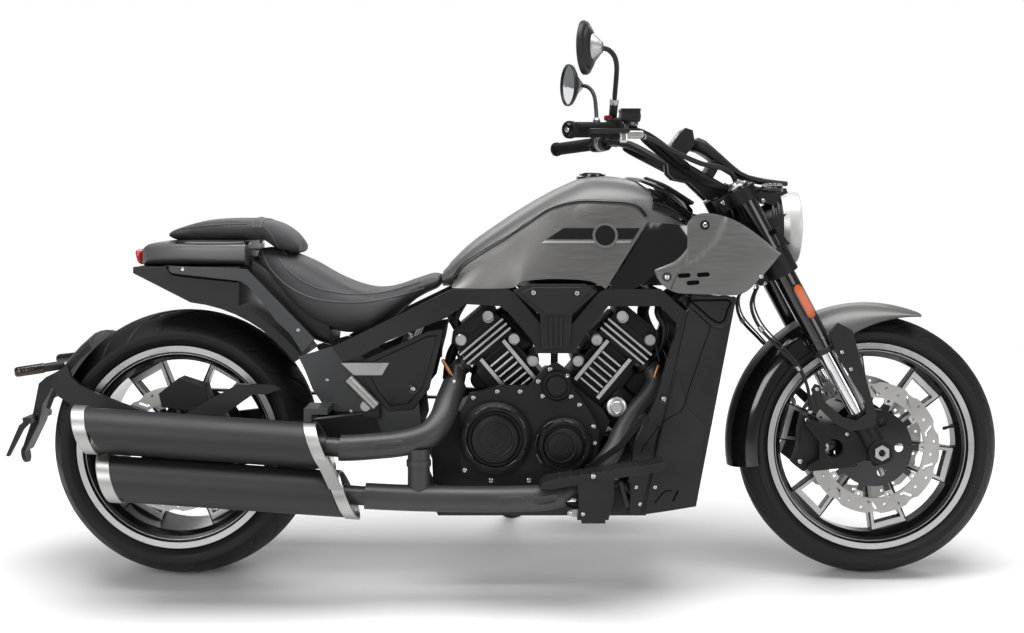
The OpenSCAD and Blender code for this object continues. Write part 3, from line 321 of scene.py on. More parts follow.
def seen(px, py):
    """The surface that shows at a pixel of the photograph, or else just below it."""
    for down in range(15):
        way = [(px - CENTRE_PX[0]) / FOCAL_PX, 1, (CENTRE_PX[1] - py - down) / FOCAL_PX]
        found = first_hit(EYE, way)
        if found:
            return found
    raise RuntimeError(f"nothing shows at {px}, {py}")


def laid(piece, pixels, radius, finish, lift=0.0, n=8, twin=True):
    """A fine bar laid along a line of pixels on whatever shows there, and on the left side too."""
    found = [seen(*p) for p in at(np.array(pixels, float), np.linspace(0, 1, 5 * len(pixels)))]
    path = np.array([f[0] + f[1] * lift for f in found])
    for turn in ([1, 1, 1], [1, -1, 1])[:2 if twin else 1]:
        piece.tube(curve(path * turn, 4 * len(path)), radius, finish, n, (0.1, 1, 0.2))


def beside(x, z, side=-1):
    """The outermost surface at x and z, from the right (-1) or the left (1)."""
    found = first_hit([x, side * 700, z], [0, -side, 0])
    if found:
        return found
    raise RuntimeError(f"nothing lies beside {x}, {z}")


# Materials


class Finish:
    """A small builder for one node material."""

    def __init__(self, name):
        self.material = bpy.data.materials.new(name)
        self.material.use_nodes = True
        self.tree = self.material.node_tree
        self.tree.nodes.clear()
        self.out = self.add("ShaderNodeOutputMaterial")
        self.shader = self.add("ShaderNodeBsdfPrincipled")
        self.link(self.shader, "BSDF", self.out, "Surface")
        self.coords = self.add("ShaderNodeTexCoord")

    def add(self, kind, **values):
        node = self.tree.nodes.new(kind)
        for key, value in values.items():
            if key in node.inputs:
                node.inputs[key].default_value = value
            else:
                setattr(node, key, value)
        return node

    def link(self, a, out, b, into):
        self.tree.links.new(a.outputs[out], b.inputs[into])

    def base(self, color, metallic=0.0, roughness=0.5, coat=0.0, specular=0.5):
        self.shader.inputs["Base Color"].default_value = (*color, 1)
        self.shader.inputs["Metallic"].default_value = metallic
        self.shader.inputs["Roughness"].default_value = roughness
        self.shader.inputs["Coat Weight"].default_value = coat
        self.shader.inputs["Coat Roughness"].default_value = 0.12
        self.shader.inputs["Specular IOR Level"].default_value = specular
        return self

    def noise(self, scale, detail=4.0, stretch=(1, 1, 1), source="Object"):
        """Noise over the object's coordinates, stretched along its axes."""
        mapping = self.add("ShaderNodeMapping")
        mapping.inputs["Scale"].default_value = stretch
        self.link(self.coords, source, mapping, "Vector")
        node = self.add("ShaderNodeTexNoise", Scale=scale, Detail=detail)
        self.link(mapping, "Vector", node, "Vector")
        return node

    def ramp(self, source, out, low, high, positions=(0.3, 0.7)):
        """Remaps a value to a range between two numbers or two colours."""
        node = self.add("ShaderNodeValToRGB")
        for element, place, value in zip(node.color_ramp.elements, positions, (low, high)):
            element.position = place
            element.color = (*value, 1) if np.ndim(value) else (value, value, value, 1)
        self.link(source, out, node, "Fac")
        return node

    def vary_color(self, source, low, high, positions=(0.3, 0.7)):
        node = self.ramp(source, "Fac", low, high, positions)
        self.link(node, "Color", self.shader, "Base Color")
        return self

    def vary_roughness(self, source, low, high, positions=(0.3, 0.7)):
        node = self.ramp(source, "Fac", low, high, positions)
        self.link(node, "Color", self.shader, "Roughness")
        return self

    def bump(self, source, out="Fac", strength=0.1, distance=0.001):
        node = self.add("ShaderNodeBump", Strength=strength, Distance=distance)
        self.link(source, out, node, "Height")
        self.link(node, "Normal", self.shader, "Normal")
        return self


def tint(color, factor):
    return tuple(min(1.0, channel * factor) for channel in color)


def painted(name, color, metallic=0.0, roughness=0.4, grain=900, strength=0.05, coat=0.0, spread=0.12):
    """Paint with a fine orange peel and a little variation in gloss and tone."""
    f = Finish(name).base(color, metallic, roughness, coat)
    fine = f.noise(grain, 2)
    broad = f.noise(6, 3)
    f.vary_color(broad, tint(color, 1 - spread), tint(color, 1 + spread))
    f.vary_roughness(broad, roughness - 0.04, roughness + 0.06)
    return f.bump(fine, strength=strength, distance=0.0004)


def brushed(name, color, metallic=1.0, roughness=0.3, along="x", strength=0.12):
    """Metal with fine parallel scratches along one axis."""
    f = Finish(name).base(color, metallic, roughness)
    stretch = {"x": (1, 60, 60), "y": (60, 1, 60), "z": (60, 60, 1)}[along]
    lines = f.noise(12, 5, stretch)
    f.vary_color(lines, tint(color, 0.9), tint(color, 1.08), (0.35, 0.65))
    f.vary_roughness(lines, roughness - 0.06, roughness + 0.1, (0.35, 0.65))
    return f.bump(lines, strength=strength, distance=0.0002)


def satin(name, color, roughness=0.3, strength=0.05):
    """Bare metal with a fine even grain and a slow change of gloss over it."""
    f = Finish(name).base(color, 1.0, roughness)
    fine, broad = f.noise(1600, 2), f.noise(11, 3)
    f.vary_color(broad, tint(color, 0.92), tint(color, 1.06))
    f.vary_roughness(broad, max(roughness - 0.05, 0.02), roughness + 0.06)
    return f.bump(fine, strength=strength, distance=0.0002)


def core(name, color):
    """Radiator core: fine upright fins, with painted shade between them and painted highlight on their edges, over a
    bump of the same fins.
    """
    f = Finish(name).base(color, 0.6, 0.4)
    fins = f.add("ShaderNodeTexWave", Scale=140, Distortion=0.4)
    f.link(f.coords, "Object", fins, "Vector")
    f.vary_color(fins, tint(color, 0.3), tint(color, 2.2))
    return f.bump(fins, strength=0.6, distance=0.001)


def moulded(name, color, roughness=0.55, grain=700, strength=0.16, specular=0.35):
    """Moulded plastic or rubber with a fine leather-like grain."""
    f = Finish(name).base(color, 0.0, roughness, specular=specular)
    cells = f.add("ShaderNodeTexVoronoi", Scale=grain)
    f.link(f.coords, "Object", cells, "Vector")
    broad = f.noise(9, 3)
    f.vary_color(broad, tint(color, 0.85), tint(color, 1.2))
    f.vary_roughness(broad, roughness - 0.06, roughness + 0.08)
    return f.bump(cells, "Distance", strength, 0.0004)


def cast(name, color, metallic=0.6, roughness=0.5, grain=320, strength=0.25):
    """Painted casting with the soft pits of a sand or die casting."""
    f = Finish(name).base(color, metallic, roughness)
    pits = f.noise(grain, 3)
    broad = f.noise(14, 3)
    f.vary_color(broad, tint(color, 0.8), tint(color, 1.25))
    f.vary_roughness(broad, roughness - 0.08, roughness + 0.08)
    return f.bump(pits, strength=strength, distance=0.0006)


def lens(name, color, roughness=0.08, transmission=0.6, ribs=0.0):
    """Coloured lens with fine optics moulded into its back."""
    f = Finish(name).base(color, 0.0, roughness)
    f.shader.inputs["Transmission Weight"].default_value = transmission
    f.shader.inputs["IOR"].default_value = 1.49
    cells = f.add("ShaderNodeTexVoronoi", Scale=260)
    f.link(f.coords, "Object", cells, "Vector")
    return f.bump(cells, "Distance", ribs, 0.001)


class CruiserColours(bpy.types.PropertyGroup):
    """Colours of the painted and moulded surfaces."""

    body: bpy.props.FloatVectorProperty(
        name="Body paint", description="Tank, tail and front fender", subtype="COLOR",
        default=(0.120, 0.119, 0.118), min=0, max=1)
    panel: bpy.props.FloatVectorProperty(
        name="Tank panels", description="Brushed panels at the tank's sides", subtype="COLOR",
        default=(0.155, 0.153, 0.150), min=0, max=1)
    shroud: bpy.props.FloatVectorProperty(
        name="Front shrouds", description="Pointed shrouds beside the fork", subtype="COLOR",
        default=(0.165, 0.164, 0.162), min=0, max=1)
    frame_paint: bpy.props.FloatVectorProperty(
        name="Frame paint", description="Main frame, swingarm and rails", subtype="COLOR",
        default=(0.010, 0.010, 0.011), min=0, max=1)
    plastic: bpy.props.FloatVectorProperty(
        name="Black plastic", description="Shrouds, covers and fender brackets", subtype="COLOR",
        default=(0.009, 0.009, 0.0095), min=0, max=1)
    seat: bpy.props.FloatVectorProperty(
        name="Seat cover", description="Grained cover of both seats", subtype="COLOR",
        default=(0.036, 0.036, 0.038), min=0, max=1)
    engine: bpy.props.FloatVectorProperty(
        name="Engine paint", description="Crankcase, covers and cylinders", subtype="COLOR",
        default=(0.012, 0.012, 0.0125), min=0, max=1)
    exhaust: bpy.props.FloatVectorProperty(
        name="Exhaust paint", description="Silencers and header pipes", subtype="COLOR",
        default=(0.020, 0.020, 0.0205), min=0, max=1)


MATERIALS = {}


def finishes(colours):
    """Every material, made once."""
    made = {
        "body_paint": painted("body_paint", colours.body, 0.7, 0.48, coat=0.1),
        "panel_paint": brushed("panel_paint", colours.panel, 0.8, 0.44, "x", 0.05),
        "shroud_paint": brushed("shroud_paint", colours.shroud, 0.8, 0.44, "x", 0.04),
        "frame_paint": painted("frame_paint", colours.frame_paint, 0.2, 0.38),
        "rail_paint": painted("rail_paint", (0.055, 0.056, 0.058), 0.6, 0.4, coat=0.1),
        "plastic": moulded("plastic", colours.plastic, 0.46),
        "gloss_black": painted("gloss_black", (0.004, 0.004, 0.0045), 0.0, 0.1, coat=0.5),
        "engine_paint": cast("engine_paint", colours.engine),
        "fin_metal": satin("fin_metal", (0.62, 0.62, 0.62), 0.34),
        "exhaust_paint": painted("exhaust_paint", colours.exhaust, 0.25, 0.5, 1400, 0.12),
        "header_paint": painted("header_paint", (0.042, 0.042, 0.042), 0.3, 0.42, 1400, 0.12),
        "satin_steel": satin("satin_steel", (0.42, 0.42, 0.41), 0.42),
        "chrome": satin("chrome", (0.66, 0.66, 0.67), 0.12, 0.01),
        "bolt_steel": satin("bolt_steel", (0.62, 0.62, 0.62), 0.25),
        "disc_steel": satin("disc_steel", (0.46, 0.455, 0.44), 0.36),
        "seat_cover": moulded("seat_cover", colours.seat, 0.58, 420, 0.35),
        "tyre_rubber": moulded("tyre_rubber", (0.0055, 0.0055, 0.006), 0.55, 900, 0.1, 0.3),
        "rubber": moulded("rubber", (0.010, 0.010, 0.0105), 0.5, 800, 0.2, 0.4),
        "wheel_paint": painted("wheel_paint", (0.006, 0.006, 0.0065), 0.2, 0.22, coat=0.3),
        "wheel_bright": satin("wheel_bright", (0.55, 0.55, 0.55), 0.28, 0.02),
        "amber": lens("amber", (0.50, 0.085, 0.008), 0.2, 0.0, 0.4),
        "smoked": lens("smoked", (0.012, 0.006, 0.003), 0.12, 0.0, 0.4),
        "red_lens": lens("red_lens", (0.45, 0.008, 0.012), 0.15, 0.1, 0.3),
        "clear_lens": lens("clear_lens", (0.80, 0.81, 0.82), 0.05, 0.8, 0.1),
        "copper": satin("copper", (0.42, 0.20, 0.09), 0.35),
        "silver_paint": painted("silver_paint", (0.50, 0.50, 0.50), 0.8, 0.32, 1200, 0.04),
        "red_plastic": moulded("red_plastic", (0.5, 0.01, 0.012), 0.35, 900, 0.05),
        "pale_silver": painted("pale_silver", (0.50, 0.50, 0.49), 0.3, 0.36, coat=0.3),
        "white_plastic": moulded("white_plastic", (0.7, 0.7, 0.7), 0.35, 500, 0.05),
        "display_glass": painted("display_glass", (0.012, 0.014, 0.018), 0.0, 0.06, coat=0.8),
        "mirror_face": satin("mirror_face", (0.75, 0.77, 0.78), 0.04, 0.0),
        "cast_black": cast("cast_black", (0.012, 0.012, 0.013), 0.5, 0.42),
        # Painted shade for grooves, gaps, recesses and slots: near black, rough and without gloss
        "painted_groove_shade": moulded("painted_groove_shade", (0.0025, 0.0025, 0.0025), 0.85, 500, 0.1, 0.05),
        "core": core("core", (0.03, 0.03, 0.032)),
        "stitch": moulded("stitch", (0.16, 0.16, 0.165), 0.7, 300, 0.2),
    }
    for name, f in made.items():
        MATERIALS[name] = f.material


NODE_FINISH = {
    "rail_paint": "rear_frame",
    "core": "radiator",
    "frame_paint": "main_frame lower_frame swingarm side_stand",
    "plastic": "radiator_shrouds rear_fender side_covers airbox plate_holder fender_brackets "
               "instrument bar_controls headlamp floorboards",
    "gloss_black": "shoulder_panels fork_tubes",
    "body_paint": "fuel_tank tail_body front_fender",
    "panel_paint": "tank_panels",
    "shroud_paint": "front_shrouds",
    "engine_paint": "crankcase engine_covers rear_cylinder front_cylinder axle_clamps "
                    "front_calipers rear_caliper yokes handlebar foot_controls rear_pulley",
    "exhaust_paint": "silencers",
    "header_paint": "header_pipes header_shields",
    "satin_steel": "silencer_trim passenger_pegs rear_shock",
    "bolt_steel": "rear_spindle front_spindle",
    "chrome": "fork_sliders",
    "disc_steel": "front_discs rear_disc",
    "wheel_paint": "front_rim rear_rim",
    "tyre_rubber": "front_tyre rear_tyre",
    "rubber": "grips drive_belt brake_hoses",
    "seat_cover": "rider_seat passenger_seat",
    "red_lens": "tail_lamp",
    "clear_lens": "headlamp_lens",
}


class CRUISER_OT_finishes(bpy.types.Operator):
    """Makes the materials and gives each CAD piece its own"""

    bl_idname = "cruiser.finishes"
    bl_label = "Finishes"

    def execute(self, context):
        finishes(context.scene.cruiser_colours)
        for finish, names in NODE_FINISH.items():
            for name in names.split():
                use(NODES[name], finish)
        use(NODES["mirrors"], "plastic")
        return {"FINISHED"}


def use(obj, *names):
    obj.data.materials.clear()
    for name in names:
        obj.data.materials.append(MATERIALS[name])


# Bodywork

TANK_BASE = 711.3
TANK_POWER = 2.6
TANK_STATIONS = [(-168, 108, TANK_BASE, 750), (-105, 130, TANK_BASE, 812), (-30, 144, TANK_BASE, 866),
                 (45, 153, TANK_BASE, 914), (120, 158, TANK_BASE, 954), (194, 160, TANK_BASE, 980),
                 (294, 158, TANK_BASE, 972), (370, 142, TANK_BASE, 944), (440, 108, 735, 892)]
PANEL_T = 4.0


def tank_y(x, z):
    """Half width of the tank's skin at x and z: w (1 - v^p)^(1/p), v the height from its middle."""
    q = curve(TANK_STATIONS, 40)
    w, top = np.interp(x, q[:, 0], q[:, 1]), np.interp(x, q[:, 0], q[:, 3])
    h = (top - TANK_BASE) / 2
    v = np.minimum(np.abs(z - TANK_BASE - h) / h, 0.98)
    return w * (1 - v**TANK_POWER) ** (1 / TANK_POWER)


class Panel:
    """A body panel of the right side, from a lower to an upper edge: point (u, v) lies v of the way
    up and stands out by 4 bulge v (1 - v), plus a soft ridge of height crease at v = ridge."""

    def __init__(self, low, high, bulge, floor=-1000, over=False, crease=0.0, ridge=0.5):
        self.low, self.high = low, high
        self.bulge, self.floor, self.over = bulge, floor, over
        self.crease, self.ridge = crease, ridge

    def skin(self, u, v):
        lo, hi = at(self.low, u), at(self.high, u)
        w = v[..., None]
        q = lo * (1 - w) + hi * w
        q[..., 1] -= self.bulge * 4 * v * (1 - v)
        q[..., 1] -= self.crease * np.exp(-((v - self.ridge) / 0.07) ** 2) * np.minimum(v, 1 - v) * 4
        q[..., 2] = np.maximum(q[..., 2], self.floor)
        if self.over:
            q[..., 1] = np.minimum(q[..., 1], -tank_y(q[..., 0], q[..., 2]) - PANEL_T - 3)
        return q

    def grid(self, nu, nv):
        u, v = np.meshgrid(np.linspace(0, 1, nu + 1), np.linspace(0, 1, nv + 1), indexing="ij")
        return self.skin(u, v)

    def solve(self, x, z):
        """u and v of the points at x and z, by Newton's steps on whole arrays."""
        x, z = np.asarray(x, float), np.asarray(z, float)
        u, v, e = np.full(x.shape, 0.5), np.full(x.shape, 0.5), 1e-3
        for _ in range(40):
            p = self.skin(u, v)
            du = (self.skin(u + e, v) - self.skin(u - e, v)) / (2 * e)
            dv = (self.skin(u, v + e) - self.skin(u, v - e)) / (2 * e)
            fx, fz = p[..., 0] - x, p[..., 2] - z
            det = du[..., 0] * dv[..., 2] - du[..., 2] * dv[..., 0]
            det = np.where(np.abs(det) < 1.0, 1.0, det)
            u = np.clip(u - 0.7 * (fx * dv[..., 2] - fz * dv[..., 0]) / det, e, 1 - e)
            v = np.clip(v - 0.7 * (du[..., 0] * fz - du[..., 2] * fx) / det, e, 1 - e)
        return u, v

    def lay(self, x, z, lift):
        """Points of the skin at x and z, lifted off it."""
        p = self.skin(*self.solve(x, z))
        p[..., 1] -= lift
        return p

    def patch(self, corners, nu=40, nv=8, lift=0.7):
        """A thin plate on the skin between four corners (x, z), as its outer and inner grid."""
        s, t = np.meshgrid(np.linspace(0, 1, nu), np.linspace(0, 1, nv), indexing="ij")
        a, b, c, d = (np.array(q, float) for q in corners)
        s, t = s[..., None], t[..., None]
        xz = (a * (1 - s) + b * s) * (1 - t) + (d * (1 - s) + c * s) * t
        return self.lay(xz[..., 0], xz[..., 1], lift), self.lay(xz[..., 0], xz[..., 1], -1.0)

    def disc(self, x, z, r0, r1, lift, back=-1.0, n=48):
        """A thin ring on the skin round (x, z), from r0 to r1."""
        a, r = np.meshgrid(np.linspace(0, 2 * math.pi, n), np.linspace(max(r0, 0.5), r1, 5), indexing="ij")
        px, pz = x + r * np.cos(a), z + r * np.sin(a)
        return self.lay(px, pz, lift), self.lay(px, pz, back)


def both_sides(piece, outer, inner, finish):
    piece.sheet(outer, inner, finish)
    piece.sheet(mirrored(outer), mirrored(inner), finish)


TANK_PANEL = Panel(
    [(-143, -160, 713), (-99, -166, 712), (-40, -173, 712), (2, -177, 715), (24, -181, 729), (78, -184, 735),
     (136, -185, 735), (179, -184, 731), (207, -183, 721), (221, -182, 712)],
    [(-141, -108, 728), (-115, -118, 763), (-64, -134, 798), (-9, -144, 832), (42, -150, 866), (92, -152, 898),
     (153, -152, 914), (219, -152, 914), (290, -152, 906), (322, -158, 872)],
    7, TANK_BASE, True)
SHOULDER_PANEL = Panel(
    [(227, -177.5, TANK_BASE), (285, -177, TANK_BASE), (338, -176, 748), (399, -172, 789), (426, -168, 829)],
    [(326, -159, 868), (350, -154, 868), (375, -149, 866), (400, -143, 864), (428, -135, 860)],
    3, TANK_BASE, True)
SHROUD = Panel(
    [(334, -182.3, 750), (356, -182.3, 720), (385, -182.3, 704), (420, -182.3, 701), (450, -182.3, 700),
     (537, -182.3, 700), (585, -182.3, 740), (630, -182.3, 792)],
    [(336, -186, 758), (391, -184, 783), (423, -181, 832), (413, -177, 864), (440, -176, 888),
     (486, -176, 887), (549, -178, 860), (632, -181, 796)], 6)


class CRUISER_OT_tank(bpy.types.Operator):
    """Makes the tank, its brushed side panels with their stripe, and the filler cap"""

    bl_idname = "cruiser.tank"
    bl_label = "Tank"

    def execute(self, context):
        tank = Piece("tank")
        rings = body_rings(TANK_STATIONS, 72, 96, TANK_POWER, TANK_BASE)
        # A soft spine along the top
        top = np.exp(-(rings[..., 1] / 34) ** 2) * (rings[..., 2] > 760)
        rings[..., 2] += 3.0 * top * np.clip((440 - rings[..., 0]) / 200, 0, 1)
        tank.loft(rings, "body_paint")
        place, axis = fuel_cap_place()
        tank.turned([(0, -10), (40, -10), (40, 1), (37, 3), (35, 3), (34, 2)] + [(33, 3), (33, 8), (30, 11),
                    (24, 12), (22, 10.5), (20, 12), (0, 12)], place, axis, "gloss_black", 64)
        tank.build("frame", "fuel_tank", slot="body_grey")

        panels = Piece("tank_side_panels")
        outer = TANK_PANEL.grid(110, 40)
        both_sides(panels, outer, outer + [0, PANEL_T, 0], "panel_paint")
        # Black beading along the upper edge
        edge = TANK_PANEL.grid(110, 1)[:, 1] + [0, 3, 2.5]
        for path in (edge, mirrored(edge)):
            panels.tube(path[3:-3], 5.6, "gloss_black", 12)
        panels.build("frame", "tank_panels", bevel=1.3, slot="panel_grey")

        cover = Piece("tank_front_cover")
        cover.sheet(tank_cover(3.2), tank_cover(-1.5), "gloss_black")
        cover.build("frame", bevel=1.0)

        marks = Piece("tank_stripe")
        for corners, finish, lift in (
                ([(82, 829), (286, 829), (303, 855), (122, 855)], "gloss_black", 0.6),
                ([(69, 820), (278, 820), (283, 825.5), (77, 825.5)], "silver_paint", 0.6)):
            both_sides(marks, *TANK_PANEL.patch(corners, 60, 8, lift), finish)
        both_sides(marks, *TANK_PANEL.disc(220, 838, 24, 30, 2.2), "chrome")
        both_sides(marks, *TANK_PANEL.disc(220, 838, 0, 24.3, 1.5), "gloss_black")
        marks.build("frame")
        return {"FINISHED"}


def tank_cover(lift, nu=40, nv=64):
    """The tank's skin raised by lift, from a rear edge that leans back over the top to its front:
    at angle t from the top the section is half (sin t)^(2/p) wide and (cos t)^(2/p) high."""
    q = curve(TANK_STATIONS, 60)
    t = np.radians(np.linspace(-66, 66, nv + 1))[None, :]
    rear = 291 + 44 * np.minimum(1, np.abs(t) / math.radians(40)) ** 1.5
    x = rear + (437 - rear) * np.linspace(0, 1, nu + 1)[:, None]
    half, low, high = (np.interp(x, q[:, 0], q[:, i]) for i in (1, 2, 3))
    low = np.maximum(low, TANK_BASE)
    s, c = np.sin(t), np.cos(t)
    y = (half + lift) * np.sign(s) * np.abs(s) ** (2 / TANK_POWER)
    z = (low + high) / 2 + ((high - low) / 2 + lift) * c ** (2 / TANK_POWER)
    return np.stack([x, y, z], -1)


def fuel_cap_place():
    tilt = math.radians(2)
    return np.array([200.0, 0.0, 979.0]), np.array([math.sin(tilt), 0, math.cos(tilt)])


class CRUISER_OT_front_bodywork(bpy.types.Operator):
    """Makes the gloss shoulder panels and the pointed shrouds beside the fork"""

    bl_idname = "cruiser.front_bodywork"
    bl_label = "Front bodywork"

    def execute(self, context):
        shoulder = Piece("shoulder_trim")
        outer = SHOULDER_PANEL.grid(60, 30)
        both_sides(shoulder, outer, outer + [0, PANEL_T, 0], "gloss_black")
        shoulder.build("frame", "shoulder_panels", bevel=1.2, slot="black_plastic")

        shrouds = Piece("pointed_shrouds")
        outer = SHROUD.grid(150, 48)
        # A step along the upper front, below the top edge
        x, z = outer[..., 0], outer[..., 2]
        fold = curve([(500, 868), (478, 826), (436, 784), (392, 756)], 40)
        far = np.hypot(x[..., None] - fold[:, 0], z[..., None] - fold[:, 1])
        near = np.argmin(far, -1)
        ahead = np.sign((x - fold[near, 0]) + (fold[near, 1] - z) * 0.4)
        outer[..., 1] -= 5.0 / (1 + np.exp(-ahead * far.min(-1) / 5))
        both_sides(shrouds, outer, outer + [0, PANEL_T, 0], "shroud_paint")
        shrouds.build("frame", "front_shrouds", bevel=1.4, slot="shroud_silver")

        # The shrouds' slots, as thin sheets of painted shade where the holes show dark
        slots = Piece("shroud_slot_shade")
        for x, z in ((404, 744), (449, 746), (425, 727)):
            both_sides(slots, *shroud_slot(x, z, 15, 5.2, math.radians(4)), "painted_groove_shade")
        slots.build("frame")
        return {"FINISHED"}


def shroud_slot(x, z, half, r, tilt):
    """A stadium-shaped slot on the shroud, drawn as a thin sheet of painted shade where its hole shows dark: a capsule
    grid of radius r and half length half.
    """
    a, q = np.meshgrid(np.linspace(0, 2 * math.pi, 49), np.linspace(0.04, 1, 5), indexing="ij")
    px = np.cos(a) * r * q + np.clip(np.cos(a) * 3, -1, 1) * (half - r) * q
    pz = np.sin(a) * r * q
    sx, sz = px * math.cos(tilt) - pz * math.sin(tilt), px * math.sin(tilt) + pz * math.cos(tilt)
    return SHROUD.lay(x + sx, z + sz, 5.7), SHROUD.lay(x + sx, z + sz, 1.5)


def arch(centre, low, high, half, crown, depth, wall, nu=72, nv=33):
    """An arch round a wheel: angles low to high, radius crown - depth (1 - cos b) at y = half sin b.
    The depth of its sides may change along it."""
    a = np.radians(np.linspace(low, high, nu))[:, None]
    b = np.linspace(-math.pi / 2, math.pi / 2, nv)[None, :]
    depth = np.broadcast_to(np.asarray(depth, float), nu)[:, None]

    def skin(w, r0):
        r = r0 - depth * (1 - np.cos(b))
        return np.stack([r * np.cos(a), w * np.sin(b) + 0 * a, r * np.sin(a)], -1) + centre
    return skin(half, crown), skin(half - wall, crown - wall)


class CRUISER_OT_fenders(bpy.types.Operator):
    """Makes the front fender"""

    bl_idname = "cruiser.fenders"
    bl_label = "Fenders"

    def execute(self, context):
        front = Piece("front_mudguard")
        angle = np.linspace(70, 189, 120)
        depth = 66 * np.clip(0.12 + (angle - 70) / 34, 0, 1)
        front.sheet(*arch(FRONT_AXLE, 70, 189, 77, 349, depth, 3, 120, 57), "body_paint")
        far = lambda x, z: np.hypot(x - FRONT_AXLE[0], z - FRONT_AXLE[2])
        turn = lambda x, z: np.degrees(np.arctan2(z - FRONT_AXLE[2], x - FRONT_AXLE[0])) % 360
        front.recolour(lambda x, y, z: (far(x, z) < 340) & (turn(x, z) > 113), "gloss_black")
        for side in (-1, 1):
            place = fork(304, 0, side * 75)
            front.tube([place, fork(304, 0, side * 79), fork(304, 0, side * 83.2)], 9, "body_paint", 20)
        front.build("steering", "front_fender", bevel=1.0, slot="body_grey")
        return {"FINISHED"}


RIDER_SEAT = [(-620, 70, 770, 812), (-560, 110, 690, 800), (-500, 128, 630, 775), (-430, 140, 604, 734),
              (-360, 146, 590, 708), (-300, 142, 630, 706), (-230, 124, 690, 728), (-176, 104, 716, 746)]
SEAT_FLOOR = 599.3
SEAT_BASE = [(-628, 92, 722, 786), (-560, 100, 646, 740), (-500, 104, 590, 690), (-440, 104, 566, 640)]
TAIL_BASE = 762.0
TAIL_TOP = TAIL_BASE + 66
PASSENGER_SEAT = [(-845, 60, 0, 8), (-820, 96, 0, 22), (-740, 112, 0, 44), (-640, 118, 0, 49), (-605, 115, 0, 47),
                  (-575, 108, -22, 38), (-545, 98, -36, 18), (-520, 82, -40, -16)]
TAIL = [(-905, 60, -22), (-880, 92, -10), (-800, 118, -1), (-700, 128, 0), (-640, 130, 0)]


def plump(piece, body, node, voxel=0.006, cap=0.005, pressure=3.0):
    """Swells a pad as stuffed foam under its cover: remeshed, puffed up by cloth under pressure and
    held to a few millimetres of its own shape."""
    obj = piece.build(body, node, sharp=180, slot="seat_grey")
    scene = bpy.context.scene
    remesh = obj.modifiers.new("even", "REMESH")
    remesh.mode, remesh.voxel_size, remesh.use_smooth_shade = "VOXEL", voxel, True
    bake(obj)
    rest = read(obj.data)
    cloth = obj.modifiers.new("cloth", "CLOTH")
    cloth.settings.use_pressure = True
    cloth.settings.uniform_pressure_force = pressure
    cloth.settings.effector_weights.gravity = 0
    cloth.settings.quality = 4
    cloth.settings.mass = 0.4
    cloth.collision_settings.use_self_collision = False
    cloth.collision_settings.use_collision = False
    for number in range(1, 13):
        scene.frame_set(number)
    depsgraph = bpy.context.evaluated_depsgraph_get()
    moved = read(obj.evaluated_get(depsgraph).data)
    obj.modifiers.remove(cloth)
    scene.frame_set(1)
    step = moved - rest
    far = np.linalg.norm(step, axis=1, keepdims=True)
    step *= np.minimum(1, cap / np.maximum(far, 1e-9))
    obj.data.vertices.foreach_set("co", (rest + step).astype(np.float32).ravel())
    obj.data.update()
    smooth = obj.modifiers.new("smooth", "SMOOTH")
    smooth.factor, smooth.iterations = 0.5, 4
    finer = obj.modifiers.new("finer", "SUBSURF")
    finer.levels = finer.render_levels = 1
    bake(obj)
    return obj


def read(mesh):
    co = np.empty(len(mesh.vertices) * 3, np.float32)
    mesh.vertices.foreach_get("co", co)
    return co.reshape(-1, 3)


def bake(obj):
    """Applies a piece's modifiers."""
    depsgraph = bpy.context.evaluated_depsgraph_get()
    made = bpy.data.meshes.new_from_object(obj.evaluated_get(depsgraph))
    names = [m for m in obj.data.materials]
    obj.modifiers.clear()
    obj.data = made
    if not made.materials:
        for m in names:
            made.materials.append(m)
    made.polygons.foreach_set("use_smooth", np.ones(len(made.polygons), bool))


class CRUISER_OT_seats(bpy.types.Operator):
    """Makes the rider's seat and the passenger's pad, plumped, with their seams"""

    bl_idname = "cruiser.seats"
    bl_label = "Seats"

    def execute(self, context):
        rings = body_rings(RIDER_SEAT, 60, 72, 2.8, SEAT_FLOOR)
        rings[..., 1] *= 0.975
        rings[..., 2] -= 2.0 * (rings[..., 2] > 690)
        saddle = plump(Piece("rider_saddle").loft(rings, "seat_cover"), "frame", "rider_seat")
        rings = body_rings([(x, w, TAIL_TOP + 0.3 + lo, TAIL_TOP + hi) for x, w, lo, hi in PASSENGER_SEAT],
                           48, 72, 2.8)
        rings[..., 1] *= 0.97
        rings[..., 2] -= 2.0 * (rings[..., 2] > TAIL_TOP + 12)
        pad = plump(Piece("passenger_pad").loft(rings, "seat_cover"), "frame", "passenger_seat")
        seams()
        pan = Piece("seat_base").loft(body_rings(SEAT_BASE, 30, 48, 4), "plastic")
        pan.build("frame")
        return {"FINISHED"}


# Sewn lines as pixels of the photograph, along the pads' right sides
SEAMS = [
    [(262, 245.5), (264, 255.5), (271, 269), (287, 285), (307.5, 296), (329, 301), (352, 302.5),
     (375, 301), (400, 295.5), (424, 288)],
    [(279, 258.5), (286, 268), (301, 280), (317, 288), (330, 291.5), (352, 294.5), (375, 293.5),
     (398, 289), (420, 282)],
    [(181, 229), (194, 227), (214, 225), (247, 224)],
    [(264, 227), (271, 234), (278, 245), (286.5, 255)]]


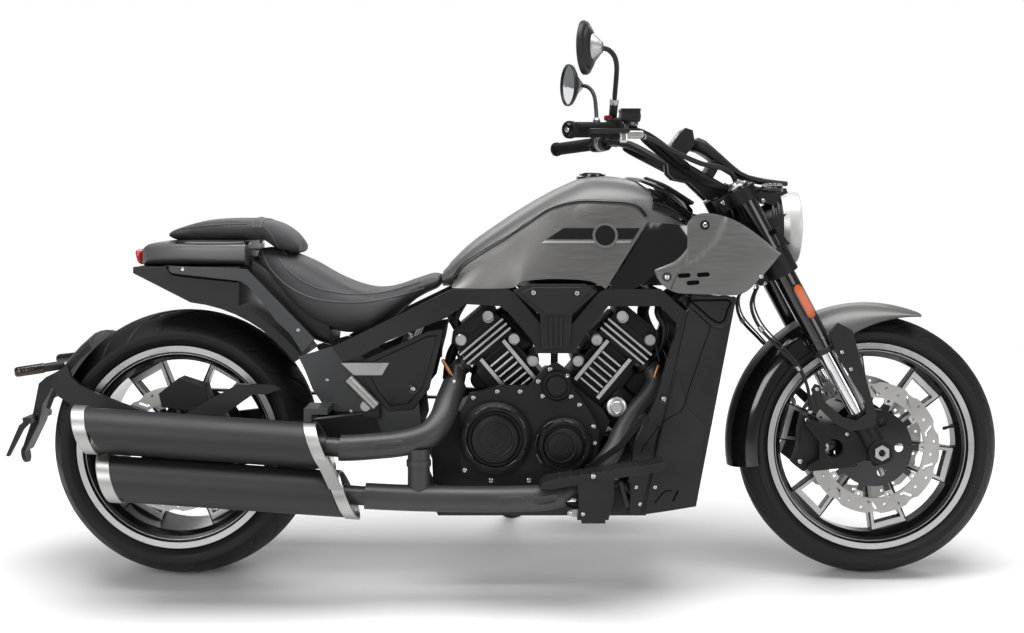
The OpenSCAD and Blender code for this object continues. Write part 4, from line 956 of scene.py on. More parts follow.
def seams():
    """Welts along the sewn lines, with a stitch every 6 mm on them."""
    piece = Piece("seat_seams")
    for pixels in SEAMS:
        found = [seen(*p) for p in at(np.array(pixels), np.linspace(0, 1, 3 * len(pixels)))]
        path = np.array([f[0] for f in found])
        out = np.array([f[1] for f in found])
        n = max(int(np.linalg.norm(np.diff(path, axis=0), axis=1).sum() / 6.5), 4)
        fine, lift = curve(path, n * 3), curve(out, n * 3)
        lift /= np.linalg.norm(lift, axis=1, keepdims=True)
        for turn in (np.array([1, 1, 1]), np.array([1, -1, 1])):
            line, up = fine * turn, lift * turn
            piece.tube(line + 0.1 * up, 1.6, "seat_cover", 8, (0.1, 1, 0.2))
            for i in range(0, 3 * n - 2, 3):
                thread = line[i:i + 3] + up[i:i + 3] * np.array([1.2, 1.8, 1.2])[:, None]
                piece.tube(thread, 0.75, "stitch", 6, (0.1, 1, 0.2))
    piece.build("frame")


class CRUISER_OT_pad_trim(bpy.types.Operator):
    """Adds the pad's strap, its dark base, and the lines and plates of the tail's sides, whose two grooves are drawn in
    painted shade
    """

    bl_idname = "cruiser.pad_trim"
    bl_label = "Pad trim"

    def execute(self, context):
        trim = Piece("pad_strap")
        rows = []
        for x in (-627, -621, -609, -603):
            found = [first_hit([x, 300 * math.sin(t), 852 + 300 * math.cos(t)], [0, -math.sin(t), -math.cos(t)])
                     for t in np.radians(np.linspace(-88, 88, 45))]
            rows.append([f[0] for f in found])
        skin = np.array(rows)
        out = (skin - [0, 0, 845]) * [0, 1, 1]
        out /= np.linalg.norm(out, axis=-1, keepdims=True)
        trim.sheet(skin + 2.4 * out, skin - 2 * out, "seat_cover")
        for row in (0, 3):
            line = curve(skin[row] + 2.6 * out[row] + [3 if row == 0 else -3, 0, 0], 132)
            for i in range(0, 130, 3):
                trim.tube(line[i:i + 3], 0.7, "stitch", 6, (1, 0.1, 0.1))
        trim.build("frame")

        lines = Piece("tail_lines_and_lamp")
        laid(lines, [(176, 243), (200, 243.5), (225, 243.5), (249, 243)], 4.4, "gloss_black", 0, 10)
        # Grooves along the tail's sides, drawn as thin bars of painted shade
        laid(lines, [(166, 265.5), (171, 273), (178, 275.5), (209, 279), (240, 282)], 2.2, "painted_groove_shade", 0)
        laid(lines, [(140, 265), (170, 264.5), (210, 264), (248, 265)], 1.0, "painted_groove_shade", 0)
        lamp = block((9, 58, 19), (-914, 0, 783), 40, 4)
        lamp[..., 0] -= 0.25 * (lamp[..., 2] - 783)
        lines.loft(lamp, "red_lens")
        lines.loft(block((20, 44, 2.5), (-902, 0, 758)), "plastic")
        lines.build("frame", "tail_lamp")
        return {"FINISHED"}


class CRUISER_OT_tail(bpy.types.Operator):
    """Makes the painted tail"""

    bl_idname = "cruiser.tail"
    bl_label = "Tail"

    def execute(self, context):
        tail = Piece("tail_cowl")
        rings = body_rings([(x, w, TAIL_BASE + 0.3, TAIL_TOP + hi) for x, w, hi in TAIL], 48, 80, 4.0)
        tail.loft(rings, "body_paint")
        tail.build("frame", "tail_body", slot="body_grey")
        return {"FINISHED"}


# Wheels

# Tyre: axle, radius, width, crown radius, rim's lip radius, rim's width
TYRES = {"front": (FRONT_AXLE, 319, 130, 68, 253, 104), "rear": (REAR_AXLE, 325, 240, 140, 244, 216)}


def tyre_section(r, w, crown, lip, rim_w, n=96):
    """Half section (radius, y) from the crown's middle to the bead and back inside, evenly spaced."""
    half, seat = w / 2, rim_w / 2 - 6.3
    shoulder = math.asin(half * 0.92 / crown)
    a = np.linspace(0, shoulder, 24)
    outer = np.stack([r - crown + crown * np.cos(a), crown * np.sin(a)], 1)
    side = curve([outer[-1], (lip + (r - lip) * 0.42, half), (lip + (r - lip) * 0.2, half * 0.985),
                  (lip + 3, seat + 6)], 20)[1:]
    section = np.concatenate([outer, side, [(lip + 1, seat), (lip - 10, seat)]])
    far = np.concatenate([[0], np.cumsum(np.linalg.norm(np.diff(section, axis=0), axis=1))])
    even = np.linspace(0, far[-1], n)
    return np.stack([np.interp(even, far, section[:, i]) for i in (0, 1)], 1), even


def tyre_surface(axle, r, w, crown, lip, rim_w, pitches, n, around):
    """A tyre: its section turned about the axle. Each groove is a slash, pitches of them round each
    side, whose middle line bends back with the distance y from the crown's middle; its depth falls
    off smoothly over its half width and at both its ends."""
    half, even = tyre_section(r, w, crown, lip, rim_w, n)
    section = np.concatenate([half[::-1] * [1, -1], half[1:]])
    along = np.concatenate([-even[::-1], even[1:]])
    a = np.linspace(0, 2 * math.pi, around, endpoint=False)[:, None]
    s = along[None, :]
    reach = np.abs(s) / (w / 2)
    depth = np.zeros((around, len(along)))
    for k, (start, stop, lean, width) in enumerate(((0.16, 0.62, 1.5, 2.3), (0.52, 0.98, 0.9, 2.1), (0.04, 0.30, 2.4, 1.9))):
        shift = lean * reach**1.5 + 0.37 * k + 0.5 * (s > 0)
        phase = (a * pitches / (2 * math.pi) - shift) % 1 - 0.5
        wide = phase * 2 * math.pi * r / pitches / np.sqrt(1 + (1.5 * lean) ** 2 * 0.4)
        window = np.clip((reach - start) / 0.06, 0, 1) * np.clip((stop - reach) / 0.06, 0, 1)
        depth = np.maximum(depth, 4.0 * window * np.clip(1.4 - np.abs(wide) / width, 0, 1))
    # Fine rings on the side walls
    radius = section[None, :, 0]
    wall = np.clip((radius.max() - radius - 22) / 6, 0, 1)
    ring = 0.5 * wall * (np.abs((radius - lip - 9) % 15 - 7.5) < 0.9) * (radius > lip + 6)
    out = np.concatenate([-np.ones(len(even)), np.ones(len(even) - 1)])[None, :]
    tilt = np.clip(np.abs(s) / (w / 2) - 0.2, 0, 1)
    rr = radius - depth * (1 - 0.35 * tilt)
    yy = section[None, :, 1] + out * ring - out * depth * 0.35 * tilt
    inner = [(lip - 10, rim_w / 2 - 20.3), (lip + 6, rim_w / 2 - 20.3), (r - 16, w * 0.2)]
    inner = np.array(inner + [(q[0], -q[1]) for q in inner[::-1]])
    rr = np.concatenate([rr, np.repeat(inner[None, :, 0], around, 0)], 1)
    yy = np.concatenate([np.broadcast_to(yy, depth.shape), np.repeat(inner[None, :, 1], around, 0)], 1)
    return np.stack([axle[0] + rr * np.cos(a), axle[1] + yy, axle[2] + rr * np.sin(a)], -1)


class CRUISER_OT_tyres(bpy.types.Operator):
    """Makes both tyres with their curved tread grooves"""

    bl_idname = "cruiser.tyres"
    bl_label = "Tyres"

    def execute(self, context):
        Piece("front_treaded_tyre").torus(tyre_surface(*TYRES["front"], 26, 44, 640), "tyre_rubber").build(
            "front_wheel", "front_tyre", sharp=60, slot="tyre")
        Piece("rear_treaded_tyre").torus(tyre_surface(*TYRES["rear"], 24, 56, 640), "tyre_rubber").build(
            "rear_wheel", "rear_tyre", sharp=60, slot="tyre")
        return {"FINISHED"}


def face_data(node):
    """Centre and normal of each polygon of a CAD node, upright."""
    mesh = NODES[node].data
    centre = np.empty(len(mesh.polygons) * 3, np.float32)
    normal = np.empty(len(mesh.polygons) * 3, np.float32)
    mesh.polygons.foreach_get("center", centre)
    mesh.polygons.foreach_get("normal", normal)
    return upright(centre.reshape(-1, 3)), normal.reshape(-1, 3) @ TURN.T


def paint(node, finishes_used, index):
    """Gives each polygon of a CAD node one of several finishes."""
    use(NODES[node], *finishes_used)
    NODES[node].data.polygons.foreach_set("material_index", np.asarray(index, np.int32))


SPOKES = 6


class CRUISER_OT_wheels(bpy.types.Operator):
    """Finishes the rims and discs, and adds bright edges and valves"""

    bl_idname = "cruiser.wheels"
    bl_label = "Wheels"

    def execute(self, context):
        for end, axle, lip, width, turn, spoke_half, body in (
                ("front", FRONT_AXLE, 253, 104, 45, 14, "front_wheel"),
                ("rear", REAR_AXLE, 244, 216, 60, 16, "rear_wheel")):
            centre, normal = face_data(end + "_rim")
            off = centre - axle
            r = np.hypot(off[:, 0], off[:, 2])
            bright = (np.abs(off[:, 1]) > width / 2 - 0.6) & (r > lip - 15)
            paint(end + "_rim", ("wheel_paint", "wheel_bright"), bright)
            trim = Piece(end + "_wheel_edges")
            inner = lip - 36
            for side in (-1, 1):
                for i in range(SPOKES):
                    # Along the turned edge of each window: out from the hub, across and back
                    loop = np.array([(44, -9), (inner - 21, -34), (inner - 21, 34), (44, 9)], float)
                    wide = np.array([(40, -17), (inner - 7, -43.5), (inner - 7, 43.5), (40, 17)], float)
                    t = np.radians(turn + i * 360 / SPOKES)
                    c, s = math.cos(t), math.sin(t)
                    q = np.stack([sharp_path(loop, 24), sharp_path(wide, 24)], 1)
                    x, z = q[..., 0] * c - q[..., 1] * s, q[..., 0] * s + q[..., 1] * c
                    outer = np.stack([x, 0 * x + side * (spoke_half + 1.0), z], -1) + axle
                    trim.sheet(outer, outer - [0, side * 1.5, 0], "wheel_bright")
                # Thin grey line inside the lip
                trim.torus(ring_section(axle, side * (width / 2 - 7), lip - 19.5, 1.2), "silver_paint")
            # Valve stem
            base = axle + [math.cos(math.radians(12)) * (lip - 36), -20, math.sin(math.radians(12)) * (lip - 36)]
            way = np.array([-math.cos(math.radians(12)), -0.35, -math.sin(math.radians(12))])
            trim.turned([(0, -3), (5, -3), (5, 6), (3.6, 9), (3.6, 20), (4.2, 21), (4.2, 30), (0, 31)], base, way,
                        "rubber", 16)
            trim.build(body, bevel=0.3)

        for node, axle, r, y in (("front_discs", FRONT_AXLE, 160, 74), ("rear_disc", REAR_AXLE, 150, 128)):
            centre, _ = face_data(node)
            far = np.hypot(centre[:, 0] - axle[0], centre[:, 2] - axle[2])
            a = np.degrees(np.arctan2(centre[:, 2] - axle[2], centre[:, 0] - axle[0])) % 36
            bobbin = np.hypot(far * np.cos(np.radians(np.minimum(a, 36 - a))) - (r - 42),
                              far * np.sin(np.radians(np.minimum(a, 36 - a)))) < 11.5
            paint(node, ("disc_steel", "gloss_black", "bolt_steel"),
                  np.where(bobbin, 2, np.where(far < r - 39, 1, 0)))
        return {"FINISHED"}


def slanted_ring(axis, x, width, slant, outer=54.8, inner=50.6, n=96):
    """A band round a silencer: at angle t from the top it starts slant cos t behind x."""
    t = np.linspace(0, 2 * math.pi, n, endpoint=False)[None, :]
    (x0, z0), (x1, z1) = axis
    way = np.array([x1 - x0, 0, z1 - z0]) / math.hypot(x1 - x0, z1 - z0)
    up = np.array([-way[2], 0, way[0]])
    profile = np.array([(inner, 0), (outer - 0.8, 0), (outer, 0.8), (outer, width - 0.8), (outer - 0.8, width), (inner, width)])
    r, h = profile[:, :1, None], profile[:, 1:, None]
    radial = np.cos(t)[..., None] * up + np.sin(t)[..., None] * [0, 1, 0]
    return np.array(on_axis(axis, x)) + r * radial + (h - slant * np.cos(t)[..., None]) * way


def sharp_path(points, n):
    """Points along straight runs, n to each run."""
    t = np.linspace(0, 1, n)[:, None]
    return np.concatenate([a * (1 - t) + b * t for a, b in zip(points[:-1], points[1:])])


def ring_section(axle, y, r, thick, n=128):
    """A thin round ring about the axle: a small circle of radius thick at radius r."""
    a = np.linspace(0, 2 * math.pi, n, endpoint=False)[:, None]
    b = np.linspace(0, 2 * math.pi, 8, endpoint=False)[None, :]
    rr = r + thick * np.cos(b)
    return np.stack([rr * np.cos(a), y + thick * np.sin(b) + 0 * a, rr * np.sin(a)], -1) + axle


# Exhaust

HALF_VEE = math.radians(40)
CRANK = np.array([105.0, 379.0])
SILENCER_Y = 236.0
UPPER = ((-978, 389), (-451, 352))
LOWER = ((-923, 277), (-402, 241))


def cylinder_point(side, q, t):
    """A point (x, z) q ahead of a cylinder's axis and t up along it; side -1 is the rear one."""
    a = side * HALF_VEE
    return (CRANK[0] + q * math.cos(a) + t * math.sin(a), CRANK[1] - q * math.sin(a) + t * math.cos(a))


def port(side, q):
    x, z = cylinder_point(side, q, 252)
    return (x, -74, z)


def on_axis(axis, x):
    (x0, z0), (x1, z1) = axis
    return (x, -SILENCER_Y, z0 + (x - x0) * (z1 - z0) / (x1 - x0))


REAR_ROUTE = [port(-1, -q) for q in (68.4, 82, 96)] + [
    (-137, -106, 480), (-152, -146, 444), (-166, -186, 406), (-196, -216, 374), (-250, -230, 358),
    (-330, -234, 350)] + [on_axis(UPPER, x) for x in (-385, -408, -430)]
FRONT_ROUTE = [port(1, q) for q in (68.4, 82, 96)] + [
    (346, -84, 482), (330, -98, 452), (292, -114, 410), (260, -136, 366), (236, -166, 326),
    (190, -196, 280), (110, -216, 236), (0, -224, 227), (-200, -232, 230)] + [
    on_axis(LOWER, x) for x in (-335, -362, -388)]


class CRUISER_OT_exhaust(bpy.types.Operator):
    """Makes the smooth header pipes and their heat shields, with pressed marks and clamps"""

    bl_idname = "cruiser.exhaust"
    bl_label = "Exhaust"

    def execute(self, context):
        pipes = Piece("bent_header_pipes")
        for route in (REAR_ROUTE, FRONT_ROUTE):
            pipes.tube(curve(route, 120), 22, "header_paint", 36, (0, 1, 0.01))
            # Flange at the port
            start, way = np.array(route[0]), np.array(route[1]) - np.array(route[0])
            pipes.turned([(0, 1), (31, 1), (31, 8), (29, 9), (22.4, 9), (22.4, 14), (0, 14)], start, way, "cast_black", 40)
        # Link between the two runs, with its collar
        pipes.tube(curve([(-216, -230, 345), (-216, -230, 230)], 12), 26, "header_paint", 40, (0, 1, 0.01))
        pipes.torus(turned_rings([(24, -8), (28.5, -7), (29, 0), (28.5, 7), (24, 8)], (-216, -230, 312), (0, 0, 1), 48), "header_paint")
        pipes.build("frame", "header_pipes", slot="exhaust_black")

        trim = Piece("silencer_bands")
        for axis, back, front in ((UPPER, -997, -460), (LOWER, -940, -404)):
            trim.torus(slanted_ring(axis, back, 31, 20), "satin_steel")
            trim.torus(slanted_ring(axis, front, 30, 26), "satin_steel")
        bridge = np.array([[(-450, -287, 334), (-420, -287, 334)], [(-416, -287, 262), (-386, -287, 262)]], float)
        trim.sheet(bridge, bridge + [0, 26, 0], "satin_steel")
        trim.build("frame", "silencer_trim", bevel=0.8, slot="bright_steel")

        shields = Piece("heat_shields")
        for route, first, last in ((REAR_ROUTE, 8 / 28, 24 / 28), (FRONT_ROUTE, 23 / 36, 31 / 36)):
            path = at(route, np.linspace(first, last, 200))
            n = 120
            rings = tube_rings(path, 30, n, (0, 1, 0.01))
            inner = tube_rings(path, 22.4, n, (0, 1, 0.01))
            out = rings - path[:, None]
            out /= np.linalg.norm(out, axis=-1, keepdims=True)
            # Two pressed ovals on the outer side, each a shallow dish with a soft rim
            far = np.concatenate([[0], np.cumsum(np.linalg.norm(np.diff(path, axis=0), axis=1))])
            middle = path[:, 1].min()
            facing = out[..., 1]
            for centre, half in OVALS[route is FRONT_ROUTE]:
                d = np.abs(far - centre) - half
                across = np.arccos(np.clip(-facing, -1, 1)) * 30
                dist = np.hypot(np.maximum(d, 0)[:, None], across)
                rings = rings - out * (3.4 / (1 + np.exp((dist - 7.5) / 0.8)))[..., None]
                rings = rings + out * (1.1 * np.exp(-((dist - 9.6) / 1.3) ** 2))[..., None]
            ends_in = np.stack([rings[0] * 0.15 + inner[0] * 0.85, rings[-1] * 0.15 + inner[-1] * 0.85])
            skin = np.concatenate([ends_in[:1], rings, ends_in[1:], inner[::-1]])
            shields.torus(skin, "header_paint")
        shields.build("frame", "header_shields", slot="exhaust_black")
        return {"FINISHED"}


# Pressed ovals: distance along the shield and half length, on the rear and the front pipe
OVALS = [[(62, 22), (252, 26)], [(120, 22), (40, 18)]]


# Frame, engine and other hard parts with rounded edges


def softened(name, node, width):
    """A copy of a CAD node, merged into one skin, with its edges rounded, that stands for it."""
    import bmesh
    source = NODES[node]
    mesh = source.data.copy()
    mesh.name = name
    shell = bmesh.new()
    shell.from_mesh(mesh)
    bmesh.ops.remove_doubles(shell, verts=shell.verts, dist=1e-5)
    bmesh.ops.dissolve_limit(shell, angle_limit=math.radians(0.6), verts=shell.verts, edges=shell.edges,
                             delimit={"MATERIAL"})
    shell.to_mesh(mesh)
    shell.free()
    mesh.polygons.foreach_set("use_smooth", np.ones(len(mesh.polygons), bool))
    mesh.set_sharp_from_angle(angle=math.radians(32))
    obj = bpy.data.objects.new(name, mesh)
    bpy.context.scene.collection.objects.link(obj)
    rounding(obj, width, 32)
    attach(obj, body_of(source)[0])
    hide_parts(node)
    return obj


# Name of the rounded piece, its CAD node, rounding in millimetres and slot
SOFTENED = [
    ("spars_and_head", "main_frame", 2.0, "frame_black"), ("seat_rails", "rear_frame", 1.2, "frame_black"),
    ("cradle", "lower_frame", 1.5, "frame_black"), ("rear_arm", "swingarm", 2.5, "frame_black"),
    ("case_halves", "crankcase", 2.0, "engine_black"), ("side_case_covers", "engine_covers", 1.6, "engine_black"),
    ("bar_and_risers", "handlebar", 1.5, "steering_black"),
    ("switches_and_levers", "bar_controls", 1.5, "black_plastic"),
    ("lamp_bucket", "headlamp", 1.5, "black_plastic"), ("visor_and_display", "instrument", 1.5, "black_plastic"),
    ("rear_pot", "rear_cylinder", 0.8, "engine_black"), ("front_pot", "front_cylinder", 0.8, "engine_black"),
    ("air_cover", "airbox", 1.5, "black_plastic"), ("knee_covers", "side_covers", 2.5, "black_plastic"),
    ("cooler_shrouds", "radiator_shrouds", 1.2, "black_plastic"), ("tyre_hugger", "rear_fender", 1.5, "black_plastic"),
    ("triple_clamps", "yokes", 2.0, "steering_black"), ("spindle_clamps", "axle_clamps", 2.0, "steering_black"),
    ("mudguard_stays", "fender_brackets", 1.2, "black_plastic"), ("rear_brake", "rear_caliper", 2.0, "caliper_black"),
    ("front_brakes", "front_calipers", 2.5, "caliper_black"), ("foot_boards", "floorboards", 1.2, "rubber"),
    ("pedals", "foot_controls", 0.8, "alloy"), ("plate_arm", "plate_holder", 1.2, "black_plastic"),
    ("prop_stand", "side_stand", 1.5, "stand_black")]


class CRUISER_OT_hard_parts(bpy.types.Operator):
    """Rounds the edges of the frame, engine, covers, brakes and foot pieces"""

    bl_idname = "cruiser.hard_parts"
    bl_label = "Hard parts"

    def execute(self, context):
        bright_engine()
        for name, node, width, slot in SOFTENED:
            softened(name, node, width)
        return {"FINISHED"}


def bright_engine():
    """Machined faces on the painted cylinders: rails, fins' edges and plugs."""
    for side, node in ((-1, "rear_cylinder"), (1, "front_cylinder")):
        centre, normal = face_data(node)
        dx, dz = centre[:, 0] - CRANK[0], centre[:, 2] - CRANK[1]
        a = side * HALF_VEE
        q, t = dx * math.cos(a) - dz * math.sin(a), dx * math.sin(a) + dz * math.cos(a)
        y = np.abs(centre[:, 1])
        rail = (y > 109.4) & (t < 240)
        fin = (y > 109.4) & (t > 245)
        plug = (y > 99.4) & (y < 100.6) & (np.abs(normal[:, 1]) > 0.9)
        paint(node, ("engine_paint", "fin_metal"), rail | fin | plug)


# Bolts

# Half section of a button-head bolt of radius 1: it stands 0.55 proud and holds a six-sided socket
def bolt_rings(n=24):
    a = np.linspace(0, 2 * math.pi, n, endpoint=False)
    hexagon = math.cos(math.pi / 6) / np.cos((a + math.pi / 6) % (math.pi / 3) - math.pi / 6)
    rows = [(0.02, 0.16, 0), (0.42, 0.16, 1), (0.45, 0.55, 1), (0.62, 0.56, 0), (0.84, 0.44, 0), (0.98, 0.16, 0),
            (1.0, -0.3, 0)]
    return np.stack([np.stack([r * np.cos(a) * (hexagon if six else 1), r * np.sin(a) * (hexagon if six else 1),
                               0 * a + h], -1) for r, h, six in rows])


BOLT = bolt_rings()


def bolt(pieces, place, normal, body, radius, finish="bolt_steel", dished=False):
    """A bolt seated on a surface; a dished one has a dark washer round it."""
    if body not in pieces:
        pieces[body] = Piece("bolts_" + body)
    b = basis(normal)
    pieces[body].loft(BOLT * radius @ b + place, finish)
    if dished:
        pieces[body].turned([(radius * 0.9, -1), (radius * 1.75, -1), (radius * 1.75, 0.5), (radius * 1.5, 0.9),
                             (radius * 0.98, 0.3)], place, normal, "gloss_black", 32)


# Bolts at pixels of the photograph, with their radius in mm, whether they are dished, and
# whether there is one on the left side too
BOLTS = [
    (705, 225, 6.5, True, True), (667, 277, 6.5, True, True), (664, 399, 6.5, True, True),
    (533.5, 292.5, 6, False, True), (577, 293, 6, False, True), (413, 389, 6, True, True),
    (454, 382, 6, False, False), (636, 487, 5, False, True), (655, 487, 5, False, True), (640, 504, 5, False, True),
    (571, 513, 5, False, True), (583, 514, 5, False, True),
    (723, 203, 6.5, False, True), (763, 201, 6.5, False, True), (761, 276, 6, False, True),
    (765, 283, 5, False, True), (817, 389, 5, False, True), (847, 434, 5, False, True), (842, 352, 5, False, True),
    (851, 369, 5, False, True), (807, 420, 6.5, False, True), (800, 461, 6.5, False, True),
    (827, 452, 6.5, False, True), (182.5, 269, 5, False, True), (298, 330, 5, False, True),
    (327, 380, 4.5, False, True), (351, 411, 4.5, False, True)]
# Bolts of the right case cover, at (x, z)
CASE_BOLTS = [(-92, 453), (-35, 468), (19, 468), (62, 492), (73, 457), (90, 521), (131, 506), (140, 456),
              (160, 436), (193, 385), (196, 345), (184, 295), (150, 268), (96, 262), (40, 258), (-50, 258),
              (-112, 282)]



# Bright plugs of the cylinders' corners, at pixels
PLUGS = [(488, 316), (461, 340), (514, 339), (533, 361), (622, 316), (650, 340), (597, 340), (578, 361)]
# Lines of the radiator's shroud: the panel's edge, the recess and its raised border; the edge and the recess are
# painted shade in their gaps
PANEL_LINE = [(640.5, 452), (650, 438), (660, 425.5), (669.4, 417.5), (682, 409.7), (689, 389), (696, 369),
              (703, 348), (710, 328.4), (707.6, 323.8), (700, 316), (690, 307)]
RECESS = [(690, 300.5), (709, 300.5), (729.5, 301), (727, 311), (724, 320), (718, 322.5), (709, 317), (699, 308),
          (690, 300.5)]


class CRUISER_OT_engine_trim(bpy.types.Operator):
    """Adds the bright plugs, the covers' ribs and the lines of the radiator's shroud"""

    bl_idname = "cruiser.engine_trim"
    bl_label = "Engine trim"

    def execute(self, context):
        plugs = Piece("engine_plugs")
        for px, py in PLUGS:
            place, normal, _ = seen(px, py)
            for turn in ([1, 1, 1], [1, -1, 1]):
                plugs.turned([(0, -2), (14, -2), (14, 2.4), (12.6, 3.6), (11.2, 3.6), (10.4, 2.2), (4.4, 2.2), (4, 1), (0, 1)],
                             place * turn, (0, -turn[1], 0), "fin_metal", 40)
        plugs.build("frame", sharp=30)

        ribs = Piece("cover_ribs")
        for px, py, r in ((495.5, 438, 72), (561, 447, 60)):
            middle, _, _ = seen(px, py)
            edge = first_hit([middle[0], -600, middle[2] + r], [0, 1, 0])[0]
            for radius, wide, count, fill in ((r, 3.0, 8, 0.55), (r * 0.58, 2.0, 1, 1.0), (r * 0.28, 1.4, 1, 1.0)):
                for i in range(count):
                    t = np.linspace(i, i + fill, 30) * 2 * math.pi / count + 0.3
                    rest = edge[1] if radius == r else middle[1]
                    path = np.stack([middle[0] + radius * np.cos(t), rest + 0 * t, middle[2] + radius * np.sin(t)], 1)
                    if fill < 1:
                        ribs.tube(path, wide, "gloss_black", 12, (0, 1, 0.01))
                    else:
                        ribs.torus(ring_section(middle, 0, radius, wide), "cast_black")
        ribs.build("frame")

        # Bright bars between the barrels' rails, and dark drives and pumps behind the cylinders
        bars = Piece("barrel_fins")
        for side in (-1, 1):
            for i in range(6):
                q = np.linspace(-28, 28, 9)
                t = 127 + 16.5 * i
                bar = box_ring(q, 0 * q + 4.5, 0 * q + t - 2.6, 0 * q + t + 2.6, 20, 6)
                x, z = cylinder_point(side, bar[..., 0], bar[..., 2])
                for y in (-105.5, 105.5):
                    bars.loft(np.stack([x, bar[..., 1] + y, z], -1), "fin_metal")
        for side, q, t, half_q, half_t, half_y in ((-1, -50, 172, 26, 62, 80), (1, 50, 172, 26, 62, 80),
                                                   (-1, 56, 236, 30, 62, 76), (1, -50, 236, 22, 62, 76),
                                                   (1, 92, 128, 40, 52, 84), (-1, -84, 120, 24, 40, 70)):
            casting = block((half_q, half_y, half_t), (q, 0, t), 40, 7)
            x, z = cylinder_point(side, casting[..., 0], casting[..., 2])
            bars.loft(np.stack([x, casting[..., 1], z], -1), "engine_paint")
        for x, z, r, half in ((301, 478, 38, 64), (-76, 484, 26, 60)):
            bars.turned([(0, -half), (r - 5, -half), (r, -half + 5), (r, half - 5), (r - 5, half), (0, half)], (x, 0, z),
                        (0, 1, 0), "engine_paint", 48)
        # Dark pump behind the right foot control and the oil line's end in the vee
        bars.loft(block((66, 26, 34), (214, -150, 216), 40, 6), "engine_paint")
        bars.turned([(0, -54), (9, -54), (9, 10), (13, 12), (13, 34), (0, 34)], (104, -40, 566), (0, 0, 1), "engine_paint", 32)
        # Bright link plate under the silencers' front
        bars.sheet(*[np.stack([np.stack([150 + 22 * u, -236 - w + 0 * u, 197 + s * 9 * np.sqrt(1 - 0.9 * u * u)], -1)
                               for s in np.linspace(-1, 1, 7)]) for w in (0, 4) for u in [np.linspace(-1, 1, 25)]],
                   "satin_steel")
        bars.build("frame", bevel=0.6)

        lines = Piece("shroud_lines")
        # The panel's edge, the recess and two short creases are thin bars of painted shade; the recess's raised border
        # is plastic
        laid(lines, PANEL_LINE, 1.0, "painted_groove_shade", 0)
        laid(lines, [(683.5, 297), (709, 297), (734, 297.5), (732, 309), (728, 322), (722, 327), (713, 325.5), (699, 313),
                     (683.5, 300)], 3.0, "plastic", -0.6, 12)
        laid(lines, RECESS, 2.4, "painted_groove_shade", -0.8, 10)
        laid(lines, [(655, 503), (664, 492), (672, 491)], 1.6, "painted_groove_shade", 0)
        laid(lines, [(673, 501), (678, 491)], 2.2, "painted_groove_shade", 0)
        lines.build("frame")
        return {"FINISHED"}


class CRUISER_OT_bolts(bpy.types.Operator):
    """Seats every visible bolt on the surface that carries it"""

    bl_idname = "cruiser.bolts"
    bl_label = "Bolts"

    def execute(self, context):
        pieces = {}
        for px, py, radius, dished, twin in BOLTS:
            place, normal, body = seen(px, py)
            bolt(pieces, place, normal, body, radius, dished=dished)
            if twin:
                place, normal, body = beside(place[0], place[2], 1)
                bolt(pieces, place, normal, body, radius, dished=dished)
        for x, z in CASE_BOLTS:
            bolt(pieces, *beside(x, z), 6.0)
        for x, z in LEFT_BOLTS:
            bolt(pieces, *beside(x, z, 1), 6.0)
        for body, piece in pieces.items():
            piece.build(body, sharp=30)
        return {"FINISHED"}


# Fork, lamp and bars

HEAD = fork(712, -40)
HOSE = [(-282, -66, 392), (-302, -98, 348), (-288, -130, 298), (-240, -142, 246), (-196, -138, 200),
        (-170, -120, 150), (-158, -92, 82)]
BAR_TIP = HEAD + [-386, -430, 141]
BAR_BEND = BAR_TIP + [145, 184, 12]
GRIP_L = 165.0


def bar_point(d):
    """A point on the bar's straight right end, d inwards from its tip."""
    way = BAR_BEND - BAR_TIP
    return BAR_TIP + way * d / np.linalg.norm(way)


def along(piece, a, b, profile, finish, n=40):
    """A turned shape on the line from a to b; profile heights run from 0 at a."""
    a, b = np.asarray(a, float), np.asarray(b, float)
    piece.turned(profile, a, b - a, finish, n)


